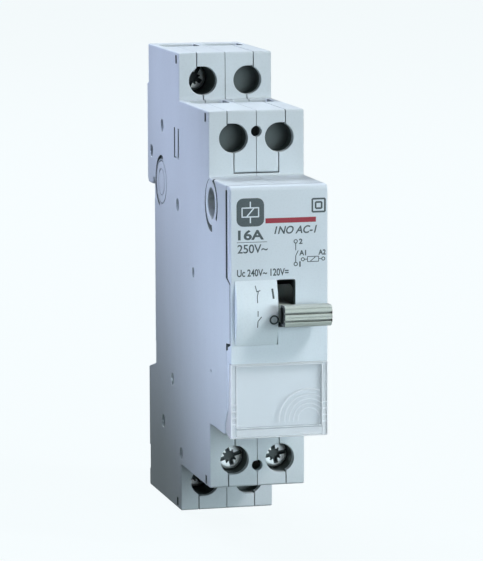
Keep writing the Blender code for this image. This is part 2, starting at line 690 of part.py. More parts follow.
def make_coil(plastic, wire_material, iron, copper):
    """Bobbin, winding, core with its pole, shading ring and yoke."""
    middle = (0.0, COIL_Y)
    reach = (-20.0, 20.0)
    bobbin = rod("coil_bobbin", "Z", middle, 3.5, COIL_BOTTOM, COIL_TOP, 20, plastic)
    flanges = []
    for name, low in (("lower_flange", COIL_BOTTOM), ("upper_flange", COIL_TOP - FLANGE)):
        flanges.append(box(name, (-FLANGE_HALF_X, FLANGE_HALF_X),
                           (COIL_Y - FLANGE_HALF_Y, COIL_Y + FLANGE_HALF_Y), (low, low + FLANGE)))
    boolean(bobbin, "UNION", flanges)
    bore = rod("bobbin_bore", "Z", middle, CORE_RADIUS + COIL_GAP, *reach, 20)
    boolean(bobbin, "DIFFERENCE", [bore])
    winding = rod("coil_winding", "Z", middle, COIL_RADIUS, COIL_BOTTOM + FLANGE + COIL_GAP,
                  COIL_TOP - FLANGE - COIL_GAP, 24, wire_material)
    boolean(winding, "DIFFERENCE", [rod("winding_bore", "Z", middle, 3.65, *reach, 20)])

    pole = COIL_TOP + 0.2
    yoke_top = COIL_BOTTOM - 0.2
    yoke_foot = yoke_top - YOKE_THICK
    core = rod("coil_core", "Z", middle, CORE_RADIUS, yoke_foot - 0.4, pole + 0.3, 20, iron)
    heads = [
        rod("core_pole", "Z", middle, POLE_RADIUS, pole, pole + 0.6, 20),
        rod("core_rivet", "Z", middle, 3.4, yoke_foot - 1.2, yoke_foot - 0.2, 20),
    ]
    boolean(core, "UNION", heads)
    ring = rod("shading_ring", "Z", middle, 4.5, pole, pole + 0.5, 20, copper)
    ring_bore = rod("ring_bore", "Z", middle, POLE_RADIUS + 0.2, 0.0, reach[1], 20)
    boolean(ring, "DIFFERENCE", [ring_bore])

    front = COIL_Y - 6.8
    inner = YOKE_BACK - YOKE_THICK
    limb_top = ARMATURE_HINGE_Z - 0.3
    limbs = [(YOKE_BACK, limb_top), (inner, limb_top), (inner, yoke_top), (front, yoke_top),
             (front, yoke_foot), (YOKE_BACK, yoke_foot)]
    yoke = prism("yoke", "X", limbs, -YOKE_HALF, YOKE_HALF, iron)
    ear = box("yoke_ear", (3.2, YOKE_HALF - 0.1), (YOKE_BACK - 0.5, YOKE_BACK + 3.2), (-5.2, -4.0))
    boolean(yoke, "UNION", [ear])
    yoke_hole = rod("yoke_hole", "Z", middle, CORE_RADIUS + COIL_GAP, reach[0], 0.0, 20)
    boolean(yoke, "DIFFERENCE", [yoke_hole])


def make_armature(iron, plastic):
    """The clapper plate over the pole and the plastic card it carries."""
    hinge_y = YOKE_BACK - YOKE_THICK / 2.0
    plate_z = (ARMATURE_HINGE_Z, ARMATURE_TOP)
    plate = box("armature", (-5.0, 5.0), (-30.0, YOKE_BACK + 0.2), plate_z, iron)
    tail = box("armature_tail", (3.2, 5.8), (YOKE_BACK - 0.5, -12.6), plate_z)
    boolean(plate, "UNION", [tail])
    card_foot = ARMATURE_TOP + 0.2
    limb_top = card_foot + 0.5
    front_x = (-1.0, 2.8)
    rear_x = (-6.0, -2.5)
    card = box("actuator_card", (rear_x[0], front_x[1]), (-36.0, -12.0),
               (card_foot, card_foot + 0.9), plastic)
    added = [
        box("card_front_limb", front_x, (-36.0, -34.6), (-0.8, limb_top)),
        box("card_foot", front_x, (-41.0, -34.8), (-0.8, 0.7)),
        box("card_rear_limb", rear_x, (-13.4, -12.0), (2.2, limb_top)),
        box("card_finger", rear_x, (-13.2, BLADE_Y - 0.5), (2.2, 3.6)),
    ]
    boolean(card, "UNION", added)
    for piece in [plate, tail, card] + added:
        turn_about(piece, hinge_y, ARMATURE_HINGE_Z)


def main():
    clear_scene()
    housing = make_material("housing_grey", (0.60, 0.66, 0.68), 0.45)
    panel_white = make_material("panel_white", (0.80, 0.85, 0.87), 0.40)
    clear = make_material("clear_plastic", (0.80, 0.88, 0.92), 0.10, alpha=0.35)
    lever_beige = make_material("lever_beige", (0.62, 0.64, 0.58), 0.45)
    dark_plastic = make_material("dark_plastic", (0.05, 0.06, 0.06), 0.50)
    bobbin_cream = make_material("bobbin_cream", (0.75, 0.72, 0.62), 0.50)
    zinc = make_material("zinc_steel", (0.72, 0.74, 0.74), 0.30, 1.0)
    iron = make_material("soft_iron", (0.45, 0.46, 0.47), 0.40, 1.0)
    copper = make_material("copper", (0.80, 0.45, 0.28), 0.30, 1.0)
    enamel = make_material("enamel_wire", (0.50, 0.18, 0.07), 0.30, 0.3)
    silver = make_material("contact_silver", (0.85, 0.85, 0.83), 0.25, 1.0)
    spring_steel = make_material("spring_steel", (0.55, 0.56, 0.58), 0.30, 1.0)

    for side in (-1, 1):
        make_shell(side, housing)
        for up in (1, -1):
            make_terminal_cover(side, up, housing)
    make_front_cover(housing)
    make_marking_panel(panel_white)
    make_flap(clear)
    make_lever(lever_beige)
    rod("lever_pin", "X", (PIVOT_Y, 0.0), PIN_RADIUS, -8.2, 8.2, 16, zinc)
    make_clip(dark_plastic)
    helix("clip_spring", (0.0, 3.2), CLIP_STOP_TOP + 0.2, -22.7, 7, spring_steel)

    make_terminal("1", -TERMINAL_X, -1, False, zinc)
    make_terminal("2", -TERMINAL_X, 1, False, zinc)
    make_terminal("a1", -TERMINAL_X, -1, True, zinc)
    make_terminal("a2", TERMINAL_X, -1, True, zinc)
    make_contacts(copper, silver)
    make_coil_feed("a1", -1, copper, enamel)
    make_coil_feed("a2", 1, copper, enamel)
    make_coil(bobbin_cream, enamel, iron, copper)
    make_armature(iron, bobbin_cream)
    helix("armature_spring", (4.3, -13.7), -3.8, ARMATURE_HINGE_Z - 0.3, 9, spring_steel)


main()
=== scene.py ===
"""Looks of a one-module DIN rail contactor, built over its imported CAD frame.

Lengths are in millimetres until a mesh is made. X runs across the module, +Y back
to the rail and +Z up. The origin is the centre of the rail seat.
"""
import math

import bmesh
import bpy
from mathutils import Matrix, Vector


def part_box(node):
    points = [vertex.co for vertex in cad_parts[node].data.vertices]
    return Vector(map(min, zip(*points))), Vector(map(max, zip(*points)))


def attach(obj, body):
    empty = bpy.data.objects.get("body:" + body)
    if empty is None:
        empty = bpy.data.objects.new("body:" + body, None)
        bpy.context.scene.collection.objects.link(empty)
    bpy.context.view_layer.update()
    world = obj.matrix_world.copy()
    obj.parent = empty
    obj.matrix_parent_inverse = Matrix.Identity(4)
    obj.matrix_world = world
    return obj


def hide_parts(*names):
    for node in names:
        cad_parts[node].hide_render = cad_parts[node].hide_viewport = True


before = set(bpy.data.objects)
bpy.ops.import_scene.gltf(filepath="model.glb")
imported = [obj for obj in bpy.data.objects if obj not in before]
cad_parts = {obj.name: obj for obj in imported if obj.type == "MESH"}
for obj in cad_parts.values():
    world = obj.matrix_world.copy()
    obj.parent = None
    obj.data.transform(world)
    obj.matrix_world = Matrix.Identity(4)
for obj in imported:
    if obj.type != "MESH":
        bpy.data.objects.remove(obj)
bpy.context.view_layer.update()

MM = 0.001


def cad_span(node, axis):
    """Low and high end of a CAD node along an axis."""
    low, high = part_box(node)
    number = "XYZ".index(axis)
    return low[number] / MM, high[number] / MM


def cad_middle(node, axis):
    """Middle of a CAD node along an axis."""
    return sum(cad_span(node, axis)) / 2.0


# Outline of the housing, from the frame.
HALF_WIDTH = cad_span("front_cover", "X")[1]
HALF_HEIGHT = cad_span("left_shell", "Z")[1]
BACK = cad_span("left_shell", "Y")[1]
NOSE_FRONT = cad_span("front_cover", "Y")[0]
NOSE_HALF = cad_span("front_cover", "Z")[1]
TIER_2_FRONT = cad_span("upper_left_terminal_cover", "Y")[0]
COVER_BACK = cad_span("upper_left_terminal_cover", "Y")[1]
COVER_WIDE = cad_span("upper_right_terminal_cover", "X")[1]
COVER_FOOT = cad_span("upper_right_terminal_cover", "Z")[0]
LIP_FRONT = cad_span("left_shell", "Y")[0]

# Outline of the housing, the rest of it.
TIER_1_FRONT = -20.8
TIER_1_FOOT = 34.4
COVER_SEAM = -57.0
COVER_NARROW = 4.1
WALL = 1.4
SIDE_INNER = 7.6
SEAM = 0.1
MIDDLE_SEAM = 0.05
LIP_INNER = 8.6
BACK_STEP_FOOT = 35.7
BACK_NOTCH = (-39.8, -35.3)

# Recess for a 35 mm top-hat rail.
RAIL_TOP = 17.7
RAIL_BOTTOM = -18.1
RAIL_LIP = 16.4
RAIL_FLANGE = 1.3
SEAT_HALF = 14.0

# Terminals.
TERMINAL_X = cad_middle("terminal_screw_a2", "X")
TIER_1_SCREW_Z = cad_middle("terminal_screw_2", "Z")
TIER_2_SCREW_Z = -cad_middle("terminal_screw_a2", "Z")
SCREW_HOLE = 2.65
HEAD_RADIUS = 2.45
SHANK_RADIUS = 1.45
WIRE_HALF = 2.4
WIRE_Y = {1: -2.1, 2: -25.2}
MOUTH_HALF = (3.5, 2.85)
MOUTH_DEPTH = 1.1
MARKER_HOLE = (30.55, 0.98)
HOLE_DEPTH = 2.0

# Pegs of the right shell in the holes of the left one: (Y, Z, radius).
PEGS = [
    (-6.8, 28.4, 1.0), (2.4, 22.7, 1.0), (-19.3, 14.7, 1.0), (-31.65, 3.6, 0.7),
    (-14.2, -19.1, 1.0), (-6.4, -28.5, 1.0),
    (-21.2, -32.1, 0.9),
]
LINK_HOLE = (-45.9, 18.0, 2.8)

# Other details of the sides, as (Y, Z) or (Y, Z, radius).
WINDOWS = [(-41.7, 33.1), (-18.9, 41.85), (-41.1, -33.3), (-18.1, -41.9)]
WINDOW_HALF = (0.55, 0.75)
HOOK_SLOTS_Y = (-17.2, -20.3)
HOOK_SLOTS_Z = (23.4, 29.0)
PLATE_CENTRE = (-6.1, 17.6)
EJECTORS = [(-30.0, 24.0, 1.5), (-30.0, -22.0, 1.5), (-8.0, 38.0, 1.2), (-8.0, -38.5, 1.2)]

# Lever, marking panel and slot.
PIVOT_Y = cad_middle("lever_pin", "Y")
PANEL_LEFT, PANEL_RIGHT = cad_span("marking_panel", "X")
PANEL_HALF = cad_span("marking_panel", "Z")[1]
PANEL_RADIUS = PIVOT_Y - cad_span("marking_panel", "Y")[0]
PANEL_BACK = -59.35
SLOT_X = (-0.3, 2.85)
SLOT_Z = (-2.6, 5.7)
HUB_RADIUS = 3.0
HANDLE_LEFT = -0.5
HANDLE_RIGHT = cad_span("switch_lever", "X")[1]
HANDLE_FRONT = cad_span("switch_lever", "Y")[0]
HANDLE_BACK = -62.0
HANDLE_GROOVES = [(1.2, 0.16, 0.12), (0.39, 0.2, 0.75), (-0.36, 0.16, 0.15), (-0.95, 0.22, 0.85)]

# Clear flap.
FLAP_FOOT, FLAP_TOP = cad_span("clear_flap", "Z")
FLAP_BACK = -58.9
HINGE_Y = -57.2
HINGE_Z = -20.9
EAR_INNER = 7.95
EAR_RADIUS = 1.15
FLAP_PIN_RADIUS = 0.7
BARREL_RADIUS = 1.4

# Edge roundings.
OUTER_EDGE = 0.3
FINE_EDGE = 0.1
OUTLINE_CORNER = 0.4


# ---- materials

def feed(tree, node, inputs):
    """Set a node's inputs to plain values, or link outputs to them."""
    for socket, value in inputs.items():
        if isinstance(value, bpy.types.NodeSocket):
            tree.links.new(value, node.inputs[socket])
        else:
            node.inputs[socket].default_value = value


def add_node(tree, kind, inputs, **settings):
    """A new shader node, with its settings and then its inputs."""
    node = tree.nodes.new("ShaderNode" + kind)
    for name, value in settings.items():
        setattr(node, name, value)
    feed(tree, node, inputs)
    return node


def noise(tree, per_mm, detail=2.0, stretch=(1.0, 1.0, 1.0)):
    """A noise texture on the object's own coordinates, with a number of grains per mm."""
    coordinates = add_node(tree, "TexCoord", {})
    mapping = add_node(tree, "Mapping", {"Vector": coordinates.outputs["Object"],
            "Scale": [value / MM for value in stretch]})
    texture = add_node(tree, "TexNoise", {"Vector": mapping.outputs["Vector"],
            "Scale": per_mm, "Detail": detail})
    return texture.outputs["Fac"]


def ramp(tree, factor, low, high, start=0.3, end=0.7):
    """A colour ramp between two colours."""
    node = add_node(tree, "ValToRGB", {"Fac": factor})
    for stop, position, colour in zip(node.color_ramp.elements, (start, end), (low, high)):
        stop.position = position
        stop.color = (*colour, 1.0)
    return node.outputs["Color"]


def multiply(tree, first, second):
    """The product of two colours."""
    node = add_node(tree, "Mix", {"Factor": 1.0, "A": first, "B": second},
            data_type="RGBA", blend_type="MULTIPLY")
    return node.outputs["Result"]


def scaled(colour, amount):
    """A lighter or darker colour."""
    return tuple(min(1.0, value * amount) for value in colour)


def add_bump(tree, shader, height, depth):
    """Bump the shader by a height output, with a depth in mm."""
    bump = add_node(tree, "Bump", {"Height": height, "Strength": 1.0, "Distance": depth * MM})
    feed(tree, shader, {"Normal": bump.outputs["Normal"]})


def vary_roughness(tree, shader, factor, low, high):
    """Roughness that wanders between two values."""
    spread = add_node(tree, "MapRange", {"Value": factor, "To Min": low, "To Max": high})
    feed(tree, shader, {"Roughness": spread.outputs["Result"]})


def new_material(name):
    """A material with its node tree and its shader."""
    material = bpy.data.materials.new(name)
    material.use_nodes = True
    return material, material.node_tree, material.node_tree.nodes["Principled BSDF"]


def plastic(name, colour, roughness=0.42, depth=0.012, crevice_shade=0.55):
    """Moulded plastic: spark-eroded grain, faint flow marks, and painted shade that darkens its
    seams, corners and grooves.
    """
    material, tree, shader = new_material(name)
    flow = noise(tree, 0.09, 3.0, (1.0, 1.0, 0.35))
    base = ramp(tree, flow, scaled(colour, 0.965), scaled(colour, 1.03))
    specks = ramp(tree, noise(tree, 3.0, 2.0), (0.97, 0.97, 0.97), (1.0, 1.0, 1.0), 0.35, 0.5)
    # Painted shade: the colour is darkened where ambient occlusion finds other surfaces close by,
    # in seams, corners and grooves.
    occlusion = add_node(tree, "AmbientOcclusion", {"Distance": 0.5 * MM}, samples=6)
    painted_crevice_shade = ramp(tree, occlusion.outputs["AO"], (crevice_shade, crevice_shade, crevice_shade), (1.0, 1.0, 1.0), 0.1, 0.75)
    feed(tree, shader, {"Base Color": multiply(tree, multiply(tree, base, specks), painted_crevice_shade)})
    grain = noise(tree, 7.0, 3.0)
    vary_roughness(tree, shader, grain, roughness - 0.06, roughness + 0.08)
    add_bump(tree, shader, grain, depth)
    return material


def metal(name, colour, roughness, tint=None, stretch=(1.0, 1.0, 1.0), metallic=1.0):
    """Plated or bare metal with fine marks and a wandering tint."""
    material, tree, shader = new_material(name)
    cloud = noise(tree, 0.8, 3.0)
    base = ramp(tree, cloud, colour, tint or scaled(colour, 0.85))
    feed(tree, shader, {"Metallic": metallic, "Base Color": base})
    marks = noise(tree, 5.0, 4.0, stretch)
    vary_roughness(tree, shader, marks, roughness - 0.08, roughness + 0.12)
    add_bump(tree, shader, marks, 0.006)
    return material


def clear_plastic(name, colour, alpha):
    """Clear moulded plastic, a little wavy and scuffed."""
    material, tree, shader = new_material(name)
    haze = noise(tree, 0.25, 2.0)
    base = ramp(tree, haze, scaled(colour, 0.97), colour)
    feed(tree, shader, {"Alpha": alpha, "IOR": 1.49, "Base Color": base})
    scuffs = noise(tree, 2.2, 5.0, (1.0, 1.0, 3.0))
    vary_roughness(tree, shader, scuffs, 0.07, 0.07 + 0.12)
    add_bump(tree, shader, haze, 0.03)
    return material


def ink(name, colour):
    """Pad-printed ink, slightly uneven."""
    material, tree, shader = new_material(name)
    cover = noise(tree, 4.0, 3.0)
    feed(tree, shader, {"Base Color": ramp(tree, cover, colour, scaled(colour, 1.35))})
    vary_roughness(tree, shader, cover, 0.35, 0.55)
    return material


def wound_wire(name, colour):
    """Enamelled wire wound in close turns along Z."""
    material, tree, shader = new_material(name)
    coordinates = add_node(tree, "TexCoord", {})
    turns = add_node(tree, "TexWave", {"Vector": coordinates.outputs["Object"],
            "Scale": 0.8 / MM, "Distortion": 0.6}, wave_type="BANDS", bands_direction="Z")
    base = ramp(tree, turns.outputs["Fac"], scaled(colour, 0.5), colour, 0.1, 0.8)
    feed(tree, shader, {"Metallic": 0.6, "Base Color": base})
    vary_roughness(tree, shader, noise(tree, 2.0), 0.22, 0.38)
    add_bump(tree, shader, turns.outputs["Fac"], 0.08)
    return material


# The crevice_shade values set how dark the painted shade in seams and grooves gets; 1.0 would leave
# none.
HOUSING = plastic("housing_grey", (0.64, 0.70, 0.725))
HOUSING_FRONT = plastic("front_grey", (0.70, 0.77, 0.815), roughness=0.38, crevice_shade=0.8)
# Painted shade: a dark plastic put on the housing's insides, hole walls, seam faces, slots and
# recesses, where there is only shade.
PAINTED_SHADE = plastic("painted_inner_shade", (0.10, 0.125, 0.12), roughness=0.5)
PANEL = plastic("panel_white", (0.77, 0.845, 0.88), roughness=0.33, depth=0.006, crevice_shade=0.95)
BEIGE = plastic("lever_beige", (0.59, 0.64, 0.58), roughness=0.4, depth=0.008, crevice_shade=0.2)
# Black plastic of the rail clip; also used as painted shade on the lever handle's left end.
DARK_PLASTIC_AND_SHADE = plastic("dark_plastic", (0.025, 0.03, 0.03), roughness=0.45)
CREAM = plastic("bobbin_cream", (0.70, 0.66, 0.54), roughness=0.5)
CLEAR = clear_plastic("clear_plastic", (0.86, 0.93, 0.99), 0.2)
# Painted highlight: whiter, more opaque clear plastic on the flap's edges, beads, ridges, ears and
# foot band, standing in for the bright edge highlights of clear plastic.
CLEAR_HIGHLIGHT = clear_plastic("clear_edge_highlight", (0.97, 0.985, 1.0), 0.6)
INK = ink("grey_ink", (0.06, 0.08, 0.085))
RED_INK = ink("red_ink", (0.30, 0.012, 0.028))
ZINC = metal("zinc_steel", (0.92, 0.95, 0.95), 0.36, (0.80, 0.82, 0.78), metallic=0.7)
IRON = metal("soft_iron", (0.42, 0.43, 0.44), 0.42)
COPPER = metal("copper", (0.80, 0.42, 0.25), 0.3, (0.62, 0.30, 0.19), stretch=(1.0, 1.0, 0.2))
SILVER = metal("contact_silver", (0.86, 0.85, 0.82), 0.24)
SPRING = metal("spring_steel", (0.50, 0.51, 0.53), 0.3)
WIRE = wound_wire("enamel_wire", (0.45, 0.13, 0.05))


# ---- mesh helpers

def circle(u, v, radius, sides=48):
    """A round outline."""
    step = 2.0 * math.pi / sides
    return [(u + radius * math.cos(i * step), v + radius * math.sin(i * step))
            for i in range(sides)]


def rectangle(u, v):
    """A box-shaped outline from its (low, high) pairs."""
    return [(u[0], v[0]), (u[1], v[0]), (u[1], v[1]), (u[0], v[1])]


def around(u, v, half_u, half_v):
    """A box-shaped outline round its middle."""
    return rectangle((u - half_u, u + half_u), (v - half_v, v + half_v))


def anticlockwise(outline):
    """The outline in anticlockwise order."""
    pairs = zip(outline, outline[1:] + outline[:1])
    area = sum(a[0] * b[1] - b[0] * a[1] for a, b in pairs)
    return outline if area > 0.0 else outline[::-1]


def fillet(outline, radius, least=OUTER_EDGE, steps=4):
    """Round an outline's corners. A corner too tight for the least radius stays sharp."""
    rounded = []
    for i, here in enumerate(outline):
        wanted = here[2] if len(here) > 2 else radius
        corner = Vector(here[:2])
        before = Vector(outline[i - 1][:2]) - corner
        after = Vector(outline[(i + 1) % len(outline)][:2]) - corner
        half = before.angle(after) / 2.0
        reach = min(wanted / math.tan(half), 0.45 * min(before.length, after.length))
        actual = reach * math.tan(half)
        if wanted == 0.0 or actual < least:
            rounded.append(tuple(corner))
            continue
        centre = corner + (before.normalized() + after.normalized()).normalized() * (
            actual / math.sin(half))
        first = corner + before.normalized() * reach - centre
        turn = (corner + after.normalized() * reach - centre).angle_signed(first)
        for step in range(steps + 1):
            spoke = first.copy()
            spoke.rotate(Matrix.Rotation(turn * step / steps, 2))
            rounded.append(tuple(centre + spoke))
    return rounded


def grown(outline, amount):
    """Move an anticlockwise outline outwards, square to its edges."""
    moved = []
    for i, here in enumerate(outline):
        corner = Vector(here)
        along = (corner - Vector(outline[i - 1])).normalized()
        onward = (Vector(outline[(i + 1) % len(outline)]) - corner).normalized()
        first = Vector((along.y, -along.x))
        second = Vector((onward.y, -onward.x))
        spread = max(0.3, 1.0 + first.dot(second))
        moved.append(tuple(corner + (first + second) * (amount / spread)))
    return moved


def place(axis, u, v, along):
    """A point in metres: X takes (Y, Z), Y takes (X, Z) and Z takes (X, Y)."""
    order = {"X": (along, u, v), "Y": (u, along, v), "Z": (u, v, along)}
    return tuple(value * MM for value in order[axis])


def show(name, data):
    """Put new data into the scene as an object."""
    obj = bpy.data.objects.new(name, data)
    bpy.context.scene.collection.objects.link(obj)
    return obj


def add_object(bm, material, name="part"):
    """Turn a bmesh into an object of one material."""
    bmesh.ops.recalc_face_normals(bm, faces=bm.faces)
    mesh = bpy.data.meshes.new(name)
    bm.to_mesh(mesh)
    bm.free()
    mesh.materials.append(material)
    return show(name, mesh)


def loft(axis, outline, rings, material):
    """Skin an outline through rings of (distance along the axis, growth)."""
    outline = anticlockwise(outline)
    bm = bmesh.new()
    loops = []
    for along, growth in rings:
        ring = grown(outline, growth) if growth else outline
        loops.append([bm.verts.new(place(axis, u, v, along)) for u, v in ring])
    bm.faces.new(loops[0])
    bm.faces.new(loops[-1])
    for near, far in zip(loops, loops[1:]):
        for i in range(len(near)):
            j = (i + 1) % len(near)
            bm.faces.new((near[i], near[j], far[j], far[i]))
    return add_object(bm, material)


def rounding(end, inward, radius, steps=3):
    """Rings that round an end; inward is the direction from the end into the solid."""
    rings = []
    for i in range(steps + 1):
        angle = math.pi / 2.0 * i / steps
        rings.append((end + inward * radius * (1.0 - math.cos(angle)),
                -radius * (1.0 - math.sin(angle))))
    return rings


def solid(axis, outline, low, high, material, low_edge=FINE_EDGE, high_edge=FINE_EDGE):
    """A prism whose two ends are rounded."""
    rings = rounding(low, 1.0, low_edge) if low_edge else [(low, 0.0)]
    far = rounding(high, -1.0, high_edge) if high_edge else [(high, 0.0)]
    return loft(axis, outline, rings + far[::-1], material)


def pocket(axis, outline, surface, floor, rim=0.15, material=None):
    """A cutter from a surface to a floor, with a rounded mouth."""
    out = 1.0 if surface > floor else -1.0
    rings = [(floor, 0.0)]
    for i in range(4 if rim else 0):
        angle = math.pi / 2.0 * i / 3
        rings.append((surface - out * rim * (1.0 - math.sin(angle)),
                rim * (1.0 - math.cos(angle))))
    rings.append((surface + out, rim))
    return loft(axis, outline, rings, material or HOUSING)


def block(x, y, z, material, edge=0.0, corner=0.0):
    """A box from its (low, high) pairs, with rounded ends along X and corners round X."""
    outline = rectangle(y, z)
    if corner:
        outline = fillet(outline, corner, least=edge)
    return solid("X", outline, x[0], x[1], material, edge, edge)


def final_mesh(obj):
    """A new mesh, as the object's modifiers make it."""
    graph = bpy.context.evaluated_depsgraph_get()
    return bpy.data.meshes.new_from_object(obj.evaluated_get(graph))


def combine(target, operation, tools):
    """Join or cut with tools, which are used up. Cut faces keep the tool's material."""
    group = bpy.data.collections.new("tools")
    bpy.context.scene.collection.children.link(group)
    for tool in tools:
        group.objects.link(tool)
    modifier = target.modifiers.new(operation, "BOOLEAN")
    modifier.operation = operation
    modifier.operand_type = "COLLECTION"
    modifier.collection = group
    modifier.solver = "EXACT"
    modifier.material_mode = "TRANSFER"
    mesh = final_mesh(target)
    target.modifiers.clear()
    target.data = mesh
    for tool in tools:
        bpy.data.objects.remove(tool, do_unlink=True)
    bpy.data.collections.remove(group)


def cut(target, tools):
    """Cut objects out of another."""
    combine(target, "DIFFERENCE", tools)


def merge(parts):
    """Join objects into one without changing their meshes."""
    bm = bmesh.new()
    materials = []
    for part in parts:
        own = list(part.data.materials)
        for material in own:
            if material not in materials:
                materials.append(material)
        start = len(bm.faces)
        bm.from_mesh(part.data)
        bm.faces.ensure_lookup_table()
        for face in bm.faces[start:]:
            face.material_index = materials.index(own[face.material_index])
        bpy.data.objects.remove(part, do_unlink=True)
    mesh = bpy.data.meshes.new("part")
    bm.to_mesh(mesh)
    bm.free()
    for material in materials:
        mesh.materials.append(material)
    return show("part", mesh)


def shade(obj, angle=32.0):
    """Smooth shading that keeps corners crisp and flat faces flat."""
    limit = math.radians(angle)
    bm = bmesh.new()
    bm.from_mesh(obj.data)
    bmesh.ops.remove_doubles(bm, verts=bm.verts, dist=0.002 * MM)
    for face in bm.faces:
        face.smooth = True
    for edge in bm.edges:
        edge.smooth = len(edge.link_faces) == 2 and edge.calc_face_angle(0.0) < limit
    bm.to_mesh(obj.data)
    bm.free()
    weighted = obj.modifiers.new("Weighted normals", "WEIGHTED_NORMAL")
    weighted.keep_sharp = True


def finish(obj, name, body, slot, *nodes):
    """Name and shade a piece, hang it on its body and let it stand for its CAD nodes."""
    obj.name = name
    shade(obj)
    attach(obj, body)
    if nodes:
        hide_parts(*nodes)


def side_span(side, inner, outer):
    """The X range between two distances from the middle, on one side (-1 or 1)."""
    return tuple(sorted((side * inner, side * outer)))


def cut_span(side, outer):
    """The X range of a cutter that starts just past the middle."""
    return side_span(side, -1.0, outer)


def flipped(outline, up):
    """The outline above the middle (up = 1), or its mirror image below."""
    return [(point[0], up * point[1], *point[2:]) for point in outline]


# ---- housing

def shell_outline():
    """Side view of a shell with the lip that laps over the front cover."""
    return [
        (BACK - 1.2, HALF_HEIGHT), (BACK - 1.2, BACK_STEP_FOOT), (BACK, BACK_STEP_FOOT),
        (BACK, RAIL_LIP + 0.8), (BACK - 0.8, RAIL_LIP), (RAIL_FLANGE + 0.5, RAIL_LIP),
        (RAIL_FLANGE, RAIL_LIP + 0.5), (RAIL_FLANGE, RAIL_TOP), (-0.2, RAIL_TOP),
        (-0.2, SEAT_HALF), (0.0, SEAT_HALF), (0.0, -SEAT_HALF), (-0.2, -SEAT_HALF),
        (-0.2, RAIL_BOTTOM), (BACK, RAIL_BOTTOM - 1.5), (BACK, BACK_NOTCH[1]),
        (BACK - 0.5, BACK_NOTCH[1]), (BACK - 0.5, BACK_NOTCH[0]), (BACK, BACK_NOTCH[0]),
        (BACK, -HALF_HEIGHT), (TIER_1_FRONT, -HALF_HEIGHT), (TIER_1_FRONT, -TIER_1_FOOT),
        (TIER_2_FRONT, -TIER_1_FOOT), (TIER_2_FRONT, -NOSE_HALF), (HINGE_Y + 1.8, -NOSE_HALF),
        (HINGE_Y + 1.3, -20.0), (COVER_SEAM, -18.2), (COVER_SEAM, -5.9, 0.0),
        (LIP_FRONT, -5.6, 0.0), (LIP_FRONT, 5.2, 0.0), (COVER_SEAM, 6.1, 0.0),
        (COVER_SEAM, NOSE_HALF, 0.0), (TIER_2_FRONT, NOSE_HALF), (TIER_2_FRONT, TIER_1_FOOT),
        (TIER_1_FRONT, TIER_1_FOOT), (TIER_1_FRONT, HALF_HEIGHT),
    ]


def cavity_outline():
    """Side view of the hollow inside the shells, open to the front cover."""
    tiers = [
        (TIER_1_FRONT + WALL, HALF_HEIGHT - WALL), (TIER_1_FRONT + WALL, TIER_1_FOOT - WALL),
        (TIER_2_FRONT + WALL, TIER_1_FOOT - WALL), (TIER_2_FRONT + WALL, NOSE_HALF - WALL),
        (COVER_SEAM - 4.0, NOSE_HALF - WALL),
    ]
    back = [
        (0.6, -HALF_HEIGHT + WALL), (0.6, -21.0), (-1.6, -21.0), (-1.6, 20.0),
        (BACK - 2.0 * WALL, 20.0), (BACK - 2.0 * WALL, HALF_HEIGHT - WALL),
    ]
    return tiers + flipped(tiers, -1)[::-1] + back


def bent_plate(front, top, back, foot, growth=0.0):
    """An L of wall thickness: a tier's top plate and the front plate below it."""
    front -= growth
    top += growth
    wall = WALL + 2.0 * growth
    return [(back, top), (front, top), (front, foot), (front + wall, foot),
            (front + wall, top - wall), (back, top - wall)]


def step_plate(growth=0.0):
    """Side view of a terminal cover: one plate bent along both tiers."""
    wall = WALL + growth
    top = HALF_HEIGHT + growth
    foot = TIER_1_FOOT + growth
    low = COVER_FOOT - growth
    return [
        (COVER_BACK, top), (TIER_1_FRONT - growth, top), (TIER_1_FRONT - growth, foot),
        (TIER_2_FRONT - growth, foot), (TIER_2_FRONT - growth, low), (TIER_2_FRONT + wall, low),
        (TIER_2_FRONT + wall, TIER_1_FOOT - wall), (TIER_1_FRONT + wall, TIER_1_FOOT - wall),
        (TIER_1_FRONT + wall, HALF_HEIGHT - wall), (COVER_BACK, HALF_HEIGHT - wall),
    ]


TIERS = {
    1: (TIER_1_FRONT, TIER_1_SCREW_Z, HALF_HEIGHT),
    2: (TIER_2_FRONT, TIER_2_SCREW_Z, TIER_1_FOOT),
}


def wide_plates(growth=0.0):
    """Side views of the wider upper part of a terminal cover on each tier."""
    return [bent_plate(front, top, WIRE_Y[tier], screw_z, growth)
            for tier, (front, screw_z, top) in TIERS.items()]


def terminal_cutters(side, up, squared):
    """Cutters for one quarter's screw holes and wire entries."""
    x = side * TERMINAL_X
    cutters = []
    for tier, (front, screw_z, top) in TIERS.items():
        floor = front + HOLE_DEPTH
        cutters.append(pocket("Y", circle(x, up * screw_z, SCREW_HOLE), front, floor, 0.12))
        if squared:
            corner = rectangle(side_span(side, TERMINAL_X, COVER_WIDE + 0.5),
                    side_span(up, screw_z, screw_z + SCREW_HOLE))
            cutters.append(pocket("Y", corner, front, floor, 0.12))
        entry = fillet(around(x, WIRE_Y[tier], WIRE_HALF, WIRE_HALF), 0.5)
        cutters.append(pocket("Z", entry, up * top, up * (top - HOLE_DEPTH), 0.0))
        mouth = fillet(around(x, WIRE_Y[tier], *MOUTH_HALF), 0.7)
        cutters.append(mouth_cutter(mouth, up * top, up * (top - MOUTH_DEPTH)))
    marker_z, marker_radius = MARKER_HOLE
    cutters.append(pocket("Y", circle(0.0, up * marker_z, marker_radius, 32),
            TIER_2_FRONT, TIER_2_FRONT + HOLE_DEPTH, 0.1))
    return cutters


